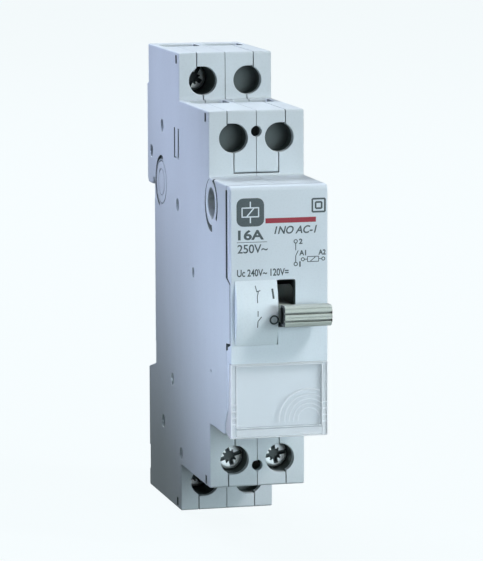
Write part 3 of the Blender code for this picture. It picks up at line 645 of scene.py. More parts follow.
def mouth_cutter(outline, surface, floor):
    """A cutter for a wire entry's funnel; its two side walls get the dark painted shade material,
    as painted shade on walls that face away from the light.
    """
    cutter = pocket("Z", outline, surface, floor, 0.12)
    cutter.data.materials.append(PAINTED_SHADE)
    # Painted shade: the side walls facing along X are given the dark material.
    for face in cutter.data.polygons:
        if abs(face.normal.x) > 0.8:
            face.material_index = 1
    return cutter


def cover_pockets(side):
    """Cutters that leave room in a shell for its two terminal covers."""
    growth = 0.12
    narrow = cut_span(side, COVER_NARROW + 1.6 * SEAM)
    wide = cut_span(side, COVER_WIDE + 1.6 * SEAM)
    cutters = []
    for up in (1, -1):
        plates = [(step_plate(growth), narrow)] + [(plate, wide) for plate in wide_plates(growth)]
        cutters += [solid("X", flipped(plate, up), *span, HOUSING, 0.0, 0.0)
                for plate, span in plates]
    return cutters


def clip_channel(side):
    """Cutters for one half of the stepped channel that holds the rail clip."""
    z = (-HALF_HEIGHT - 1.0, RAIL_BOTTOM + 0.4)
    return [
        block(cut_span(side, 4.0), (2.0, 4.4), z, HOUSING),
        block(cut_span(side, 3.0), (4.3, BACK + 1.0), z, HOUSING),
        block(cut_span(side, 3.0), (1.4, 2.5), (-22.9, z[1]), HOUSING),
    ]


def arc_band(centre, radius, width, start, end, taper=False, steps=24):
    """Outline of a curved band, in degrees; a tapered one ends in a point."""
    outer = []
    inner = []
    for i in range(steps + 1):
        share = i / steps
        half = width / 2.0 * (1.0 - share if taper else 1.0) + 0.01
        angle = math.radians(start + (end - start) * share)
        for line, reach in ((outer, radius + half), (inner, radius - half)):
            line.append((centre[0] + reach * math.cos(angle), centre[1] + reach * math.sin(angle)))
    return outer + inner[::-1]


def ring_groove(centre, radius, width, face, depth):
    """A turned cutter for a round groove in a side face."""
    out = math.copysign(1.0, face)
    profile = [(radius - width / 2.0, face + out), (radius + width / 2.0, face + out),
            (radius + width / 4.0, face - out * depth), (radius - width / 4.0, face - out * depth)]
    bm = bmesh.new()
    rings = []
    for i in range(48):
        turn = 2.0 * math.pi * i / 48
        rings.append([bm.verts.new(place("X", centre[0] + reach * math.cos(turn),
                centre[1] + reach * math.sin(turn), along))
                for reach, along in profile])
    for i in range(48):
        here = rings[i]
        after = rings[(i + 1) % 48]
        for j in range(4):
            k = (j + 1) % 4
            bm.faces.new((here[j], here[k], after[k], after[j]))
    return add_object(bm, HOUSING)


def side_details():
    """Cutters for what is moulded in the left side."""
    face = -HALF_WIDTH
    inside = -6.0
    cutters = [pocket("X", circle(y, z, radius + 0.2, 32), face, inside, 0.1)
            for y, z, radius in PEGS]
    cutters.append(pocket("X", circle(*LINK_HOLE, 64), face, inside, 0.2))
    # Painted shade: the windows and hook slots are lined with the dark painted shade material.
    cutters += [pocket("X", around(y, z, *WINDOW_HALF), face, face + 1.0, 0.05, PAINTED_SHADE)
            for y, z in WINDOWS]
    cutters += [pocket("X", rectangle((y - 0.38, y + 0.38), HOOK_SLOTS_Z), face, face + 0.9,
            0.05, PAINTED_SHADE) for y in HOOK_SLOTS_Y]
    foot = rectangle(HOOK_SLOTS_Y[::-1], (HOOK_SLOTS_Z[0], HOOK_SLOTS_Z[0] + 0.2))
    cutters.append(pocket("X", foot, face, face + 0.25, 0.04))
    cutters.append(pocket("X", circle(-45.2, -12.5, 0.35, 16), face, face + 0.3, 0.03))
    cutters.append(ring_groove(PLATE_CENTRE, 4.1, 0.5, face, 0.4))
    cutters.append(ring_groove(PLATE_CENTRE, 2.5, 0.45, face, 0.2))
    link = LINK_HOLE[:2]
    # Real shallow grooves; their dark lining is painted shade.
    bands = [
        arc_band(link, 4.5, 1.2, -97.0, 72.0, True),
        arc_band(link, 4.5, 0.7, 105.0, 215.0),
        arc_band(PLATE_CENTRE, 4.75, 0.6, -70.0, 105.0),
    ]
    return cutters + [pocket("X", band, face, face + 0.5, 0.03, PAINTED_SHADE) for band in bands]


def ejector_marks(side):
    """Shallow round marks of the ejector pins."""
    face = side * HALF_WIDTH
    return [pocket("X", circle(y, z, radius, 32), face, face - side * 0.06, 0.03)
            for y, z, radius in EJECTORS]


def make_shell(side):
    """One half of the housing."""
    edges = {side * HALF_WIDTH: OUTER_EDGE, side * 0.02: 0.05}
    low, high = sorted(edges)
    outline = fillet(shell_outline(), OUTLINE_CORNER)
    shell = solid("X", outline, low, high, HOUSING, edges[low], edges[high])
    seam_back = COVER_SEAM + 0.3
    past_nose = NOSE_FRONT - 1.0
    trim = [(seam_back, 7.0), (seam_back, 5.95), (LIP_FRONT + 0.2, 5.05),
            (LIP_FRONT + 0.2, -5.5), (seam_back, -5.75), (seam_back, -7.0),
            (past_nose, -7.0), (past_nose, 7.0)]
    # Painted shade: the insides, the shell's front edge at the cover seam and the lip's trimmed
    # edges are cut with the dark painted shade material, so the seam shows as a dark line.
    cut(shell, [
        solid("X", cavity_outline(), *cut_span(side, SIDE_INNER), PAINTED_SHADE, 0.0, 0.0),
        block(cut_span(side, LIP_INNER), (NOSE_FRONT, COVER_SEAM), (-7.0, 7.0), HOUSING),
        block(cut_span(side, 10.0), (past_nose, seam_back), (6.12, NOSE_HALF - 0.9), PAINTED_SHADE),
        solid("X", trim, *cut_span(side, 10.0), PAINTED_SHADE, 0.0, 0.0),
    ])
    cut(shell, cover_pockets(side) + clip_channel(side))
    cut(shell, terminal_cutters(side, 1, False) + terminal_cutters(side, -1, False))
    cut(shell, side_details() if side < 0 else ejector_marks(side))
    parts = [shell]
    if side > 0:
        parts += [solid("X", circle(y, z, radius, 32), -8.4, SIDE_INNER + 0.3, HOUSING, 0.25, 0.0)
                for y, z, radius in PEGS]
        parts.append(block((-1.5, 0.4), (-1.6, 0.0), (-12.0, 12.0), HOUSING))
    hand = "right" if side > 0 else "left"
    finish(merge(parts), f"{hand}_housing", "housing", "housing_grey", f"{hand}_shell")


def make_terminal_cover(side, up):
    """The bent plate between the middle seam and a shell."""
    node = f"{'upper' if up > 0 else 'lower'}_{'right' if side > 0 else 'left'}_terminal_cover"
    edges = {side * MIDDLE_SEAM: 0.04, side * COVER_NARROW: FINE_EDGE}
    low, high = sorted(edges)
    outline = fillet(flipped(step_plate(), up), OUTLINE_CORNER)
    cover = solid("X", outline, low, high, HOUSING, edges[low], edges[high])
    combine(cover, "UNION", [solid("X", fillet(flipped(plate, up), OUTLINE_CORNER),
            *side_span(side, MIDDLE_SEAM + 0.05, COVER_WIDE), HOUSING) for plate in wide_plates()])
    cut(cover, terminal_cutters(side, up, True))
    finish(cover, node + "_skin", "housing", "housing_grey", node)


def make_screw_guides():
    """The tubes behind the screw holes; those without a screw end in a blank floor."""
    screws = {(-1, 1, 1), (-1, -1, 1), (-1, -1, 2), (1, -1, 2)}
    guides = []
    for side in (-1, 1):
        for up in (-1, 1):
            for tier, (front, screw_z, _) in TIERS.items():
                x = side * TERMINAL_X
                z = up * screw_z
                is_open = (side, up, tier) in screws
                start = front + WALL - 0.1
                end = start + (8.6 if tier == 1 and is_open else 3.6)
                floor = end + (1.0 if is_open else -1.0)
                # Painted shade: the guide tubes are dark, standing in for the shade deep inside the
                # screw holes.
                tube = solid("Y", circle(x, z, SCREW_HOLE + 0.55), start, end, PAINTED_SHADE, 0.0, 0.0)
                cut(tube, [solid("Y", circle(x, z, SCREW_HOLE + 0.02), start - 1.0, floor,
                        PAINTED_SHADE, 0.0, 0.0)])
                guides.append(tube)
    finish(merge(guides), "screw_guides", "housing", "housing_grey")


def make_front_cover():
    """The nose's front with the lever slot, the panel's seat and the flap's seat."""
    back = COVER_SEAM - 0.6
    foot = FLAP_TOP + 0.04
    inner = 7.7
    outline = fillet([(back, foot, 0.0), (NOSE_FRONT, foot, 0.0), (NOSE_FRONT, NOSE_HALF, 0.9),
            (back, NOSE_HALF, 0.0)], 0.3)
    cover = solid("X", outline, -HALF_WIDTH, HALF_WIDTH, HOUSING_FRONT, OUTER_EDGE, OUTER_EDGE)
    rabbet = [(back + 3.0, 6.6), (COVER_SEAM - 0.2, 6.35), (LIP_FRONT - 0.25, 5.35),
            (LIP_FRONT - 0.25, -5.75), (COVER_SEAM - 0.1, -6.45), (back + 3.0, -6.6)]
    slot = fillet(rectangle(SLOT_X, SLOT_Z), 0.25, least=0.1)
    seat = rectangle((PANEL_LEFT - 0.02, SLOT_X[0] + 0.05), (-PANEL_HALF - 0.02, PANEL_HALF + 0.02))
    # Painted shade: the hollow behind the front, the rabbets beside the shells' lips and the lever
    # slot's walls are cut with the dark painted shade material.
    cut(cover, [
        block((-inner, inner), (-58.6, back + 1.0), (foot - 1.0, 21.3), PAINTED_SHADE),
        solid("X", rabbet, *side_span(1, 8.35, 10.0), PAINTED_SHADE, 0.0, 0.0),
        solid("X", rabbet, *side_span(-1, 8.35, 10.0), PAINTED_SHADE, 0.0, 0.0),
        pocket("Y", slot, NOSE_FRONT, back + 1.0, 0.1, PAINTED_SHADE),
        pocket("Y", seat, NOSE_FRONT, PANEL_BACK + 0.1, 0.0, HOUSING_FRONT),
    ])
    finish(merge([cover] + flap_frame(inner, back, foot)), "nose_cover", "housing", "housing_grey",
            "front_cover")


def flap_frame(inner, back, foot):
    """What holds the flap: side edges, top lip, seat, hinge barrel and label rails."""
    front = HOUSING_FRONT
    edge = [(-58.7, foot), (-58.05, -17.2), (back, -18.0), (COVER_SEAM - 0.2, -18.0),
            (COVER_SEAM - 0.2, -6.9), (back - 0.3, -6.9), (back - 0.3, foot)]
    parts = [solid("X", edge, *side_span(side, inner, HALF_WIDTH), front) for side in (1, -1)]
    parts.append(block((-8.75, 8.75), (back - 0.5, COVER_SEAM - 0.12),
            (NOSE_HALF - 1.2, NOSE_HALF), front, 0.1))
    parts.append(block((-inner, inner), (-58.7, -57.3), (-20.3, foot + 0.2), front, 0.1, 0.15))
    parts.append(solid("X", circle(HINGE_Y, HINGE_Z, BARREL_RADIUS, 32), -inner, inner, front))
    parts += [block((-6.9, 6.9), (-58.86, -58.6), (z - 0.25, z + 0.25), front, 0.1, 0.12)
            for z in (-10.6, -18.9)]
    return parts


# ---- panel and lever

def make_panel():
    """The white panel beside the lever, bulging on the lever's own radius."""
    half_angle = math.degrees(math.asin(PANEL_HALF / PANEL_RADIUS))
    outline = circle_arc((PIVOT_Y, 0.0), PANEL_RADIUS, 180.0 - half_angle, 180.0 + half_angle, 32)
    outline += [(PANEL_BACK, -PANEL_HALF), (PANEL_BACK, PANEL_HALF)]
    panel = solid("X", outline, PANEL_LEFT, PANEL_RIGHT, PANEL, 0.12, 0.12)
    finish(panel, "scale_panel", "housing", "panel_white", "marking_panel")


def handle_outline():
    """Side view of the lever's handle, with the grooves of its front."""
    top = [(HANDLE_BACK, 0.9), (HANDLE_BACK - 0.8, 1.7), (HANDLE_FRONT + 0.6, 1.75)]
    grooves = []
    for z, half, depth in HANDLE_GROOVES:
        floor = HANDLE_FRONT + depth
        grooves += [(HANDLE_FRONT, z + half, 0.06), (floor, z + 0.09, 0.0),
                (floor, z - 0.09, 0.0), (HANDLE_FRONT, z - half, 0.06)]
    foot = [(HANDLE_FRONT + 0.45, -2.0), (HANDLE_BACK - 0.8, -2.03), (HANDLE_BACK, -1.2)]
    return top + grooves + foot


def make_lever():
    """Hub and arm, and the ribbed handle, whose left end and a hollow in it are painted black as
    painted shade.
    """
    arm_x = (0.05, 2.55)
    hub = solid("X", circle(PIVOT_Y, 0.0, HUB_RADIUS), -3.0, 5.6, BEIGE, 0.2, 0.2)
    arm = block(arm_x, (HANDLE_BACK - 0.4, PIVOT_Y - 1.5), (-1.9, 1.2), BEIGE, 0.15, 0.2)
    tail = block(arm_x, (PIVOT_Y + 1.5, -39.5), (1.0, 2.6), BEIGE, 0.15, 0.2)
    outline = fillet(handle_outline(), 0.45, least=0.05)
    handle = solid("X", outline, HANDLE_LEFT, HANDLE_RIGHT, BEIGE, 0.08, 0.22)
    hollow = fillet(rectangle((HANDLE_FRONT + 1.3, HANDLE_BACK - 0.4), (-1.6, 1.3)), 0.3, 0.1)
    whole_end = rectangle((HANDLE_FRONT - 1.0, HANDLE_BACK + 1.0), (-3.0, 3.0))
    # Painted shade: the handle's left end face and a shallow hollow are cut with black plastic,
    # standing in for the shade on that end.
    for outline, depth in ((whole_end, 0.1), (hollow, 0.9)):
        cut(handle, [solid("X", outline, HANDLE_LEFT - 1.0, HANDLE_LEFT + depth, DARK_PLASTIC_AND_SHADE, 0.0, 0.0)])
    cut(hub, [solid("X", circle(PIVOT_Y, 0.0, 1.1, 32), -4.0, 6.0, BEIGE, 0.0, 0.0)])
    finish(merge([hub, arm, tail, handle]), "lever_skin", "lever", "lever_beige", "switch_lever")


# ---- flap

def frame_bar(x, z, width=0.22):
    """A raised bead round a rectangle on the flap's front."""
    outer = fillet(rectangle(x, z), 0.3, least=0.1)
    inner = rectangle((x[0] + width, x[1] - width), (z[0] + width, z[1] - width))
    # Real bead; its whiter colour is painted highlight.
    bead = solid("Y", outer, NOSE_FRONT, NOSE_FRONT + 0.3, CLEAR_HIGHLIGHT, 0.06, 0.0)
    cut(bead, [solid("Y", fillet(inner, 0.2, least=0.1), NOSE_FRONT - 1.0, NOSE_FRONT + 1.0,
            CLEAR_HIGHLIGHT, 0.0, 0.0)])
    return bead


def make_flap():
    """The clear label flap with beaded rims, hinge ears and grip ridges."""
    outline = rectangle((NOSE_FRONT + 0.12, FLAP_BACK), (FLAP_FOOT, FLAP_TOP))
    flap = solid("X", fillet(outline, 0.2, least=0.1), -HALF_WIDTH + 0.05, HALF_WIDTH - 0.05,
            CLEAR, 0.15, 0.15)
    window = fillet(rectangle((-7.75, 7.75), (FLAP_FOOT + 1.95, FLAP_TOP - 0.35)), 0.4, least=0.1)
    # Painted highlight: the window's walls and every face of the flap that does not face front or
    # back get the whiter edge material.
    cut(flap, [pocket("Y", window, FLAP_BACK, FLAP_BACK - 0.25, 0.1, CLEAR_HIGHLIGHT)])
    flap.data.materials.append(CLEAR_HIGHLIGHT)
    for face in flap.data.polygons:
        if abs(face.normal.y) < 0.92:
            face.material_index = len(flap.data.materials) - 1
    bead_back = NOSE_FRONT + 0.3
    ear = [(bead_back, FLAP_FOOT), (bead_back, FLAP_TOP), (FLAP_BACK, FLAP_TOP), (-58.2, -17.5)]
    ear += circle_arc((HINGE_Y, HINGE_Z), EAR_RADIUS, 45.0, -90.0, 12)
    ear.append((FLAP_BACK, FLAP_FOOT))
    parts = [flap]
    # The ears, pins and ear ribs are real parts in the whiter edge material, as painted highlight.
    for side in (1, -1):
        parts.append(solid("X", ear, *side_span(side, EAR_INNER, HALF_WIDTH), CLEAR_HIGHLIGHT))
        parts.append(solid("X", circle(HINGE_Y, HINGE_Z, FLAP_PIN_RADIUS, 24),
                *side_span(side, 6.9, 8.05), CLEAR_HIGHLIGHT))
        for number in range(4):
            z = FLAP_FOOT + 2.6 + 1.15 * number
            parts.append(block(side_span(side, EAR_INNER, 8.7), (NOSE_FRONT + 0.05, bead_back),
                    (z - 0.12, z + 0.12), CLEAR_HIGHLIGHT))
    # Painted highlight: a whiter band across the flap's foot.
    parts.append(block((-7.9, 7.9), (NOSE_FRONT + 0.13, NOSE_FRONT + 0.5),
            (FLAP_FOOT + 0.3, FLAP_FOOT + 1.6), CLEAR_HIGHLIGHT, 0.1, 0.12))
    parts.append(frame_bar((-HALF_WIDTH, HALF_WIDTH), (FLAP_FOOT, FLAP_TOP)))
    parts.append(frame_bar((-EAR_INNER, EAR_INNER), (FLAP_FOOT + 1.75, FLAP_TOP - 0.3), 0.18))
    finish(merge(parts + grip_ridges()), "flap_skin", "flap", "clear_plastic", "clear_flap")


def circle_arc(centre, radius, start, end, steps):
    """Points on an arc, from start to end in degrees."""
    points = []
    for i in range(steps + 1):
        angle = math.radians(start + (end - start) * i / steps)
        points.append((centre[0] + radius * math.cos(angle), centre[1] + radius * math.sin(angle)))
    return points


def grip_ridges():
    """Plain concentric finger ridges at the lower right."""
    ridges = [(5.4, 0.2, 68.0, 184.0), (4.4, 0.1, 60.0, 185.0), (3.6, 0.1, 50.0, 186.0),
            (2.8, 0.1, 38.0, 188.0), (2.0, 0.1, 10.0, 190.0)]
    # Real ridges; their whiter colour is painted highlight.
    return [solid("Y", arc_band((5.4, -19.4), *ridge), NOSE_FRONT + 0.06, NOSE_FRONT + 0.16,
            CLEAR_HIGHLIGHT, 0.0, 0.0) for ridge in ridges]


# ---- screws

def make_screw(label, turned):
    """A captive terminal screw with a combined slot and cross recess."""
    node = f"terminal_screw_{label}"
    x = cad_middle(node, "X")
    z = cad_middle(node, "Z")
    front, back = cad_span(node, "Y")
    rings = [(0.0, -0.62), (0.06, -0.35), (0.2, -0.12), (0.45, 0.0), (1.9, 0.0), (2.0, -0.1)]
    head = loft("Y", circle(x, z, HEAD_RADIUS), [(front + depth, growth)
            for depth, growth in rings], ZINC)
    bars = [(2.8, 0.36, turned), (1.75, 0.42, turned + 90.0), (0.95, 0.85, turned),
            (1.35, 0.16, turned + 45.0), (1.35, 0.16, turned - 45.0)]
    cutters = []
    for half_length, half_width, angle in bars:
        outline = [turned_point(x, z, point, angle)
                for point in around(0.0, 0.0, half_length, half_width)]
        # Painted shade: the slot and cross recess are lined with the dark painted shade material.
        cutters.append(loft("Y", outline, [(front - 1.0, 0.0), (front, 0.0),
                (front + 1.05, -0.1)], PAINTED_SHADE))
    cut(head, cutters)
    shank = thread(x, z, SHANK_RADIUS, front + 1.9, back)
    finish(merge([head, shank]), f"screw_skin_{label}", f"screw_{label}", "zinc_steel", node)


def turned_point(x, z, point, degrees):
    """A point turned about (x, z)."""
    angle = math.radians(degrees)
    return (x + point[0] * math.cos(angle) - point[1] * math.sin(angle),
            z + point[0] * math.sin(angle) + point[1] * math.cos(angle))


def thread(x, z, radius, front, back):
    """A threaded shank."""
    rings = [(front, -0.25)]
    pitch = 0.7
    y = front + 0.8
    while y + pitch < back - 0.3:
        rings += [(y, -0.25), (y + pitch * 0.5, 0.0)]
        y += pitch
    rings += [(back - 0.3, -0.25), (back, -0.5)]
    return loft("Y", circle(x, z, radius, 32), rings, ZINC)


# ---- rail clip

def make_clip():
    """The sliding rail clip: stepped slider, tooth, window, pull slot and grip ribs."""
    low, high = cad_span("din_clip", "Z")
    half = cad_span("din_clip", "X")[1]
    neck = 2.8
    top = -18.6
    slider = block((-half, half), (2.2, 4.2), (low, top), DARK_PLASTIC_AND_SHADE, 0.15, 0.2)
    neck_part = block((-neck, neck), (4.0, 5.6), (low, top), DARK_PLASTIC_AND_SHADE, 0.2, 0.25)
    tooth = [(1.6, top - 0.4), (1.6, high - 0.6), (2.1, high), (3.4, high), (5.6, high - 1.6),
            (5.6, top - 0.4)]
    tooth_part = solid("X", fillet(tooth, 0.25, least=0.16), -neck, neck, DARK_PLASTIC_AND_SHADE, 0.15, 0.15)
    combine(slider, "UNION", [neck_part, tooth_part])
    bore = circle(0.0, cad_middle("clip_spring", "Y"), 1.5, 32)
    window_x = (-1.7, 1.7)
    cutters = [
        block(window_x, (1.0, 7.0), (-33.3, -22.5), DARK_PLASTIC_AND_SHADE),
        block(window_x, (1.0, 7.0), (low + 1.5, low + 4.3), DARK_PLASTIC_AND_SHADE),
        solid("Z", bore, -23.0, -18.85, DARK_PLASTIC_AND_SHADE, 0.0, 0.0),
    ]
    for number in range(4):
        z = -35.0 - 0.75 * number
        cutters.append(block((-neck - 1.0, neck + 1.0), (5.3, 6.0), (z - 0.18, z + 0.18), DARK_PLASTIC_AND_SHADE))
    cut(slider, cutters)
    finish(slider, "rail_clip_skin", "rail_clip", "dark_plastic", "din_clip")


# ---- markings

PRINT_THICK = 0.03


def flat_mark(outline, material=INK):
    """A printed patch on the nose's front."""
    return solid("Y", outline, NOSE_FRONT - PRINT_THICK, NOSE_FRONT + PRINT_THICK, material,
            0.0, 0.0)


def line_mark(start, end, width=0.16, material=INK, pieces=1):
    """A printed line, in a number of pieces so that it can be wrapped."""
    start = Vector(start)
    run = Vector(end) - start
    across = Vector((-run.y, run.x)).normalized() * width / 2.0
    near = [tuple(start + run * i / pieces - across) for i in range(pieces + 1)]
    far = [tuple(start + run * i / pieces + across) for i in range(pieces + 1)]
    return merge([flat_mark([near[i], near[i + 1], far[i + 1], far[i]], material)
            for i in range(pieces)])


def box_marks(corners, width):
    """Printed lines round a box."""
    return [line_mark(corner, corners[(i + 1) % 4], width) for i, corner in enumerate(corners)]


def ring_mark(centre, radius, width=0.16):
    """A printed ring, in two halves."""
    return [flat_mark(arc_band(centre, radius, width, start, start + 180.0))
            for start in (0.0, 180.0)]


def lettering(text, x, z, height, width, slant=0.0, weight=0.0):
    """A printed word, fitted between x and x + width on the line z."""
    curve = bpy.data.curves.new("lettering", "FONT")
    curve.body = text
    curve.extrude = PRINT_THICK
    curve.offset = weight
    curve.shear = slant
    obj = show("lettering", curve)
    mesh = final_mesh(obj)
    bpy.data.objects.remove(obj, do_unlink=True)
    across = [vert.co.x for vert in mesh.vertices]
    upward = [vert.co.y for vert in mesh.vertices]
    x_scale = width / (max(across) - min(across))
    z_scale = height / (max(upward) - min(upward))
    for vert in mesh.vertices:
        u = x + (vert.co.x - min(across)) * x_scale
        v = z + (vert.co.y - min(upward)) * z_scale
        vert.co = Vector((u * MM, (NOSE_FRONT - vert.co.z) * MM, v * MM))
    mesh.materials.clear()
    mesh.materials.append(INK)
    return show("lettering", mesh)


def make_front_print():
    """What is printed on the nose's front."""
    marks = [flat_mark(rectangle((-2.5, 6.7), (15.87, 16.76)), RED_INK)]
    marks += badge()
    marks.append(lettering("16A", -7.5, 13.0, 1.8, 4.7, weight=0.03))
    marks.append(line_mark((-7.7, 12.6), (-2.2, 12.6), 0.09))
    marks.append(lettering("250V~", -7.6, 10.66, 1.55, 5.5, weight=0.012))
    marks.append(lettering("1NO AC-1", -0.9, 13.9, 1.4, 7.8, slant=0.25, weight=0.02))
    marks.append(lettering("Uc 240V~ 120V=", -7.7, 6.5, 1.3, 9.4, weight=0.02))
    marks += diagram()
    for half in (1.15, 0.55):
        marks += box_marks(around(7.2, 18.8, half, half), 0.3)
    finish(merge(marks), "front_print", "housing", "dark_plastic")


def badge():
    """A plain rounded badge with a coil symbol."""
    u, v = -5.25, 17.9
    parts = [flat_mark(fillet(rectangle((-7.75, -2.75), (15.4, 20.4)), 1.2))]
    lines = [((-1.5, -0.8), (1.5, -0.8)), ((-1.5, 0.8), (1.5, 0.8)), ((-1.5, -0.88), (-1.5, 0.88)),
            ((1.5, -0.88), (1.5, 0.88)), ((0.0, 0.8), (0.0, 1.9)), ((0.0, -0.8), (0.0, -1.9)),
            ((-0.7, -0.8), (0.7, 0.8))]
    for start, end in lines:
        line = line_mark((u + start[0], v + start[1]), (u + end[0], v + end[1]), 0.22, PANEL)
        for vert in line.data.vertices:
            vert.co.y -= 0.5 * PRINT_THICK * MM
        parts.append(line)
    return parts


def diagram():
    """The contact and coil diagram."""
    x = 3.0
    coil_z = 9.25
    marks = []
    for centre, radius, width in [((x, 12.5), 0.3, 0.14), ((x, 8.45), 0.3, 0.14),
            ((4.3, coil_z), 0.28, 0.13), ((8.05, coil_z), 0.28, 0.13)]:
        marks += ring_mark(centre, radius, width)
    for start, end, width in [
            ((x, 12.2), (x, 10.9), 0.14), ((x, 8.75), (x, 9.9), 0.14),
            ((x, 9.9), (x + 0.45, 10.85), 0.14), ((4.6, coil_z), (5.15, coil_z), 0.13),
            ((7.2, coil_z), (7.75, coil_z), 0.13), ((5.7, 8.9), (6.6, 9.6), 0.13)]:
        marks.append(line_mark(start, end, width))
    marks += box_marks(rectangle((5.15, 7.2), (8.8, 9.7)), 0.13)
    marks.append(lettering("2", 3.6, 12.0, 0.95, 0.65, weight=0.03))
    marks.append(lettering("1", 3.65, 7.95, 0.95, 0.25))
    marks.append(lettering("A1", 3.65, 9.95, 0.95, 1.25, weight=0.03))
    marks.append(lettering("A2", 7.15, 9.95, 0.95, 1.35, weight=0.03))
    return marks


def make_panel_print():
    """The contact symbols and the I and O of the lever's panel, wrapped to its curve."""
    x = -4.2
    lines = [
        ((x - 0.3, 4.9), (x - 0.1, 3.85), 0.15), ((x - 0.1, 3.85), (x + 0.55, 4.05), 0.15),
        ((x + 0.2, 3.95), (x - 0.05, 3.0), 0.15), ((x - 0.05, 3.0), (x - 0.05, 1.9), 0.15),
        ((x, 0.5), (x, -0.5), 0.15), ((x + 0.65, -0.55), (x, -1.35), 0.15),
        ((x, -1.35), (x - 0.05, -2.5), 0.15), ((-1.45, 4.3), (-1.3, 2.55), 0.34),
    ]
    marks = [line_mark(start, end, width, INK, 8) for start, end, width in lines]
    ring = circle_arc((-1.25, -1.2), 0.72, 0.0, 360.0, 24)
    marks += [line_mark(start, end, 0.28) for start, end in zip(ring, ring[1:])]
    marks = merge(marks)
    for vert in marks.data.vertices:
        proud = NOSE_FRONT * MM - vert.co.y
        vert.co.y = PIVOT_Y * MM - math.sqrt((PANEL_RADIUS * MM) ** 2 - vert.co.z ** 2) - proud
    finish(marks, "panel_print", "housing", "dark_plastic")


# ---- carried-over CAD

CARRIED = {
    ZINC: ["lever_pin", "clamp_cage_1", "clamp_cage_2", "clamp_cage_a1", "clamp_cage_a2"],
    COPPER: ["fixed_contact_bar", "upper_terminal_bar", "contact_blade", "a1_terminal_bar",
            "a2_terminal_bar", "shading_ring"],
    SILVER: ["fixed_contact_tip", "moving_contact_tip"],
    CREAM: ["coil_bobbin", "actuator_card"],
    WIRE: ["coil_winding", "a1_coil_lead", "a2_coil_lead"],
    IRON: ["coil_core", "yoke", "armature"],
    SPRING: ["clip_spring", "armature_spring"],
}


def dress_carried_nodes():
    """Materials and softened edges for the CAD nodes that stay in view."""
    for material, nodes in CARRIED.items():
        for node in nodes:
            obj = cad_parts[node]
            obj.data.materials.clear()
            obj.data.materials.append(material)
            bevel = obj.modifiers.new("Soft edges", "BEVEL")
            bevel.width = 0.08 * MM
            bevel.segments = 2
            bevel.limit_method = "ANGLE"
            bevel.angle_limit = math.radians(50.0)


# ---- stage

def emitter(name, glow, strength, reflects):
    """A pale surface that glows evenly and reflects a little light, so a shadow shows on it."""
    material, tree, shader = new_material(name)
    feed(tree, shader, {"Base Color": (reflects, reflects, reflects, 1.0), "Roughness": 0.8,
            "Specular IOR Level": 0.0, "Emission Color": (*glow, 1.0),
            "Emission Strength": strength})
    return material


def make_floor():
    """A wide pale floor under the object and a pale dome behind it."""
    bm = bmesh.new()
    bmesh.ops.create_circle(bm, cap_ends=True, segments=64, radius=5.0)
    floor = add_object(bm, emitter("floor_paper", (0.93, 0.985, 1.0), 0.96, 0.03), "floor")
    floor.location.z = -(HALF_HEIGHT + 0.2) * MM
    bm = bmesh.new()
    bmesh.ops.create_uvsphere(bm, u_segments=48, v_segments=24, radius=5.2)
    dome = add_object(bm, emitter("backdrop_paper", (0.93, 0.99, 1.0), 1.0, 0.0), "backdrop")
    dome.visible_shadow = False
    for surface in (floor, dome):
        surface.visible_diffuse = False
        surface.visible_glossy = False


def add_light(data, name, where, target, energy, colour):
    """Place and aim a lamp that the camera never sees; where and target are in mm."""
    data.energy = energy
    data.color = colour
    light = show(name, data)
    light.location = [value * MM for value in where]
    light.visible_camera = False
    direction = Vector([value * MM for value in target]) - light.location
    light.rotation_euler = direction.to_track_quat("-Z", "Y").to_euler()


def softbox(name, where, size, energy, colour):
    """A square softbox turned to the object."""
    data = bpy.data.lights.new(name, "AREA")
    data.size = size * MM
    add_light(data, name, where, (0.0, -30.0, 0.0), energy, colour)


def snoot(name, where, target, cone, energy, colour):
    """A small lamp whose light fades out towards the edge of its cone."""
    data = bpy.data.lights.new(name, "SPOT")
    data.spot_size = math.radians(cone)
    data.spot_blend = 1.0
    data.shadow_soft_size = 30.0 * MM
    add_light(data, name, where, target, energy, colour)


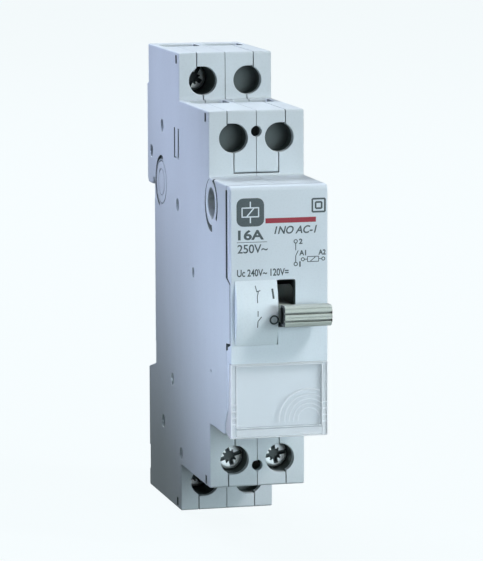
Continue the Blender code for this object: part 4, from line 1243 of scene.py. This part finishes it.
def make_lights():
    """Softboxes for the whole, small lamps for single faces, and a dim sky."""
    softbox("key", (620, -620, 740), 140, 5.8, (0.97, 0.965, 1.0))
    softbox("front_fill", (370, -1020, 150), 300, 1.95, (0.85, 0.95, 1.0))
    softbox("right_fill", (600, -900, 200), 250, 2.7, (0.78, 0.93, 1.0))
    softbox("low_fill", (370, -1020, -100), 300, 0.8, (0.7, 0.86, 1.0))
    softbox("top_back", (-100, 600, 800), 400, 10.0, (0.84, 0.91, 1.0))
    snoot("side_top", (-500, 0, 150), (-9, -10, 35), 12, 9.5, (0.66, 0.72, 1.0))
    snoot("side_front", (-500, -30, 120), (-9, -60, -6), 9, 11.8, (0.67, 0.75, 1.0))
    snoot("terminal_lamp", (420, -950, 30), (0, -44, -27.5), 1.6, 24.0, (0.76, 0.93, 1.0))
    snoot("left_lamp", (-260, -1000, -40), (-5, -44, -27.5), 0.95, 66.0, (0.78, 0.94, 1.0))
    snoot("panel_lamp", (-300, -950, 40), (-2.4, -61, -2.8), 0.5, 52.0, (0.85, 0.95, 1.0))
    world = bpy.data.worlds.new("studio")
    world.use_nodes = True
    background = world.node_tree.nodes["Background"]
    background.inputs["Color"].default_value = (0.86, 0.98, 1.0, 1.0)
    background.inputs["Strength"].default_value = 0.1
    bpy.context.scene.world = world


def make_camera():
    """The camera, by its distance, its turn and its lens."""
    yaw, pitch, roll = (math.radians(angle) for angle in (14.1675, 8.0194, -0.2005))
    upright = Matrix(((1.0, 0.0, 0.0), (0.0, 0.0, -1.0), (0.0, 1.0, 0.0)))
    turn = Matrix.Rotation(roll, 3, "Z") @ Matrix.Rotation(pitch, 3, "X") @ upright
    turn = turn @ Matrix.Rotation(yaw, 3, "Z")
    right, down, forward = turn
    camera = show("camera", bpy.data.cameras.new("camera"))
    camera.matrix_world = Matrix((right, -down, -forward)).transposed().to_4x4()
    camera.location = (-0.157416, -0.656305, 0.092530)
    camera.data.lens = 226.34
    camera.data.clip_start = 0.01
    camera.data.clip_end = 20.0
    bpy.context.scene.camera = camera


def main():
    """Build the pieces, then the studio round them."""
    for side in (-1, 1):
        make_shell(side)
        for up in (1, -1):
            make_terminal_cover(side, up)
    make_screw_guides()
    make_front_cover()
    make_panel()
    make_lever()
    make_flap()
    for label, turned in (("1", 40.0), ("2", 62.0), ("a1", 18.0), ("a2", 11.0)):
        make_screw(label, turned)
    make_clip()
    make_front_print()
    make_panel_print()
    dress_carried_nodes()
    make_floor()
    make_lights()
    make_camera()
    bpy.context.scene.view_settings.view_transform = "Standard"


main()
bpy.context.view_layer.update()
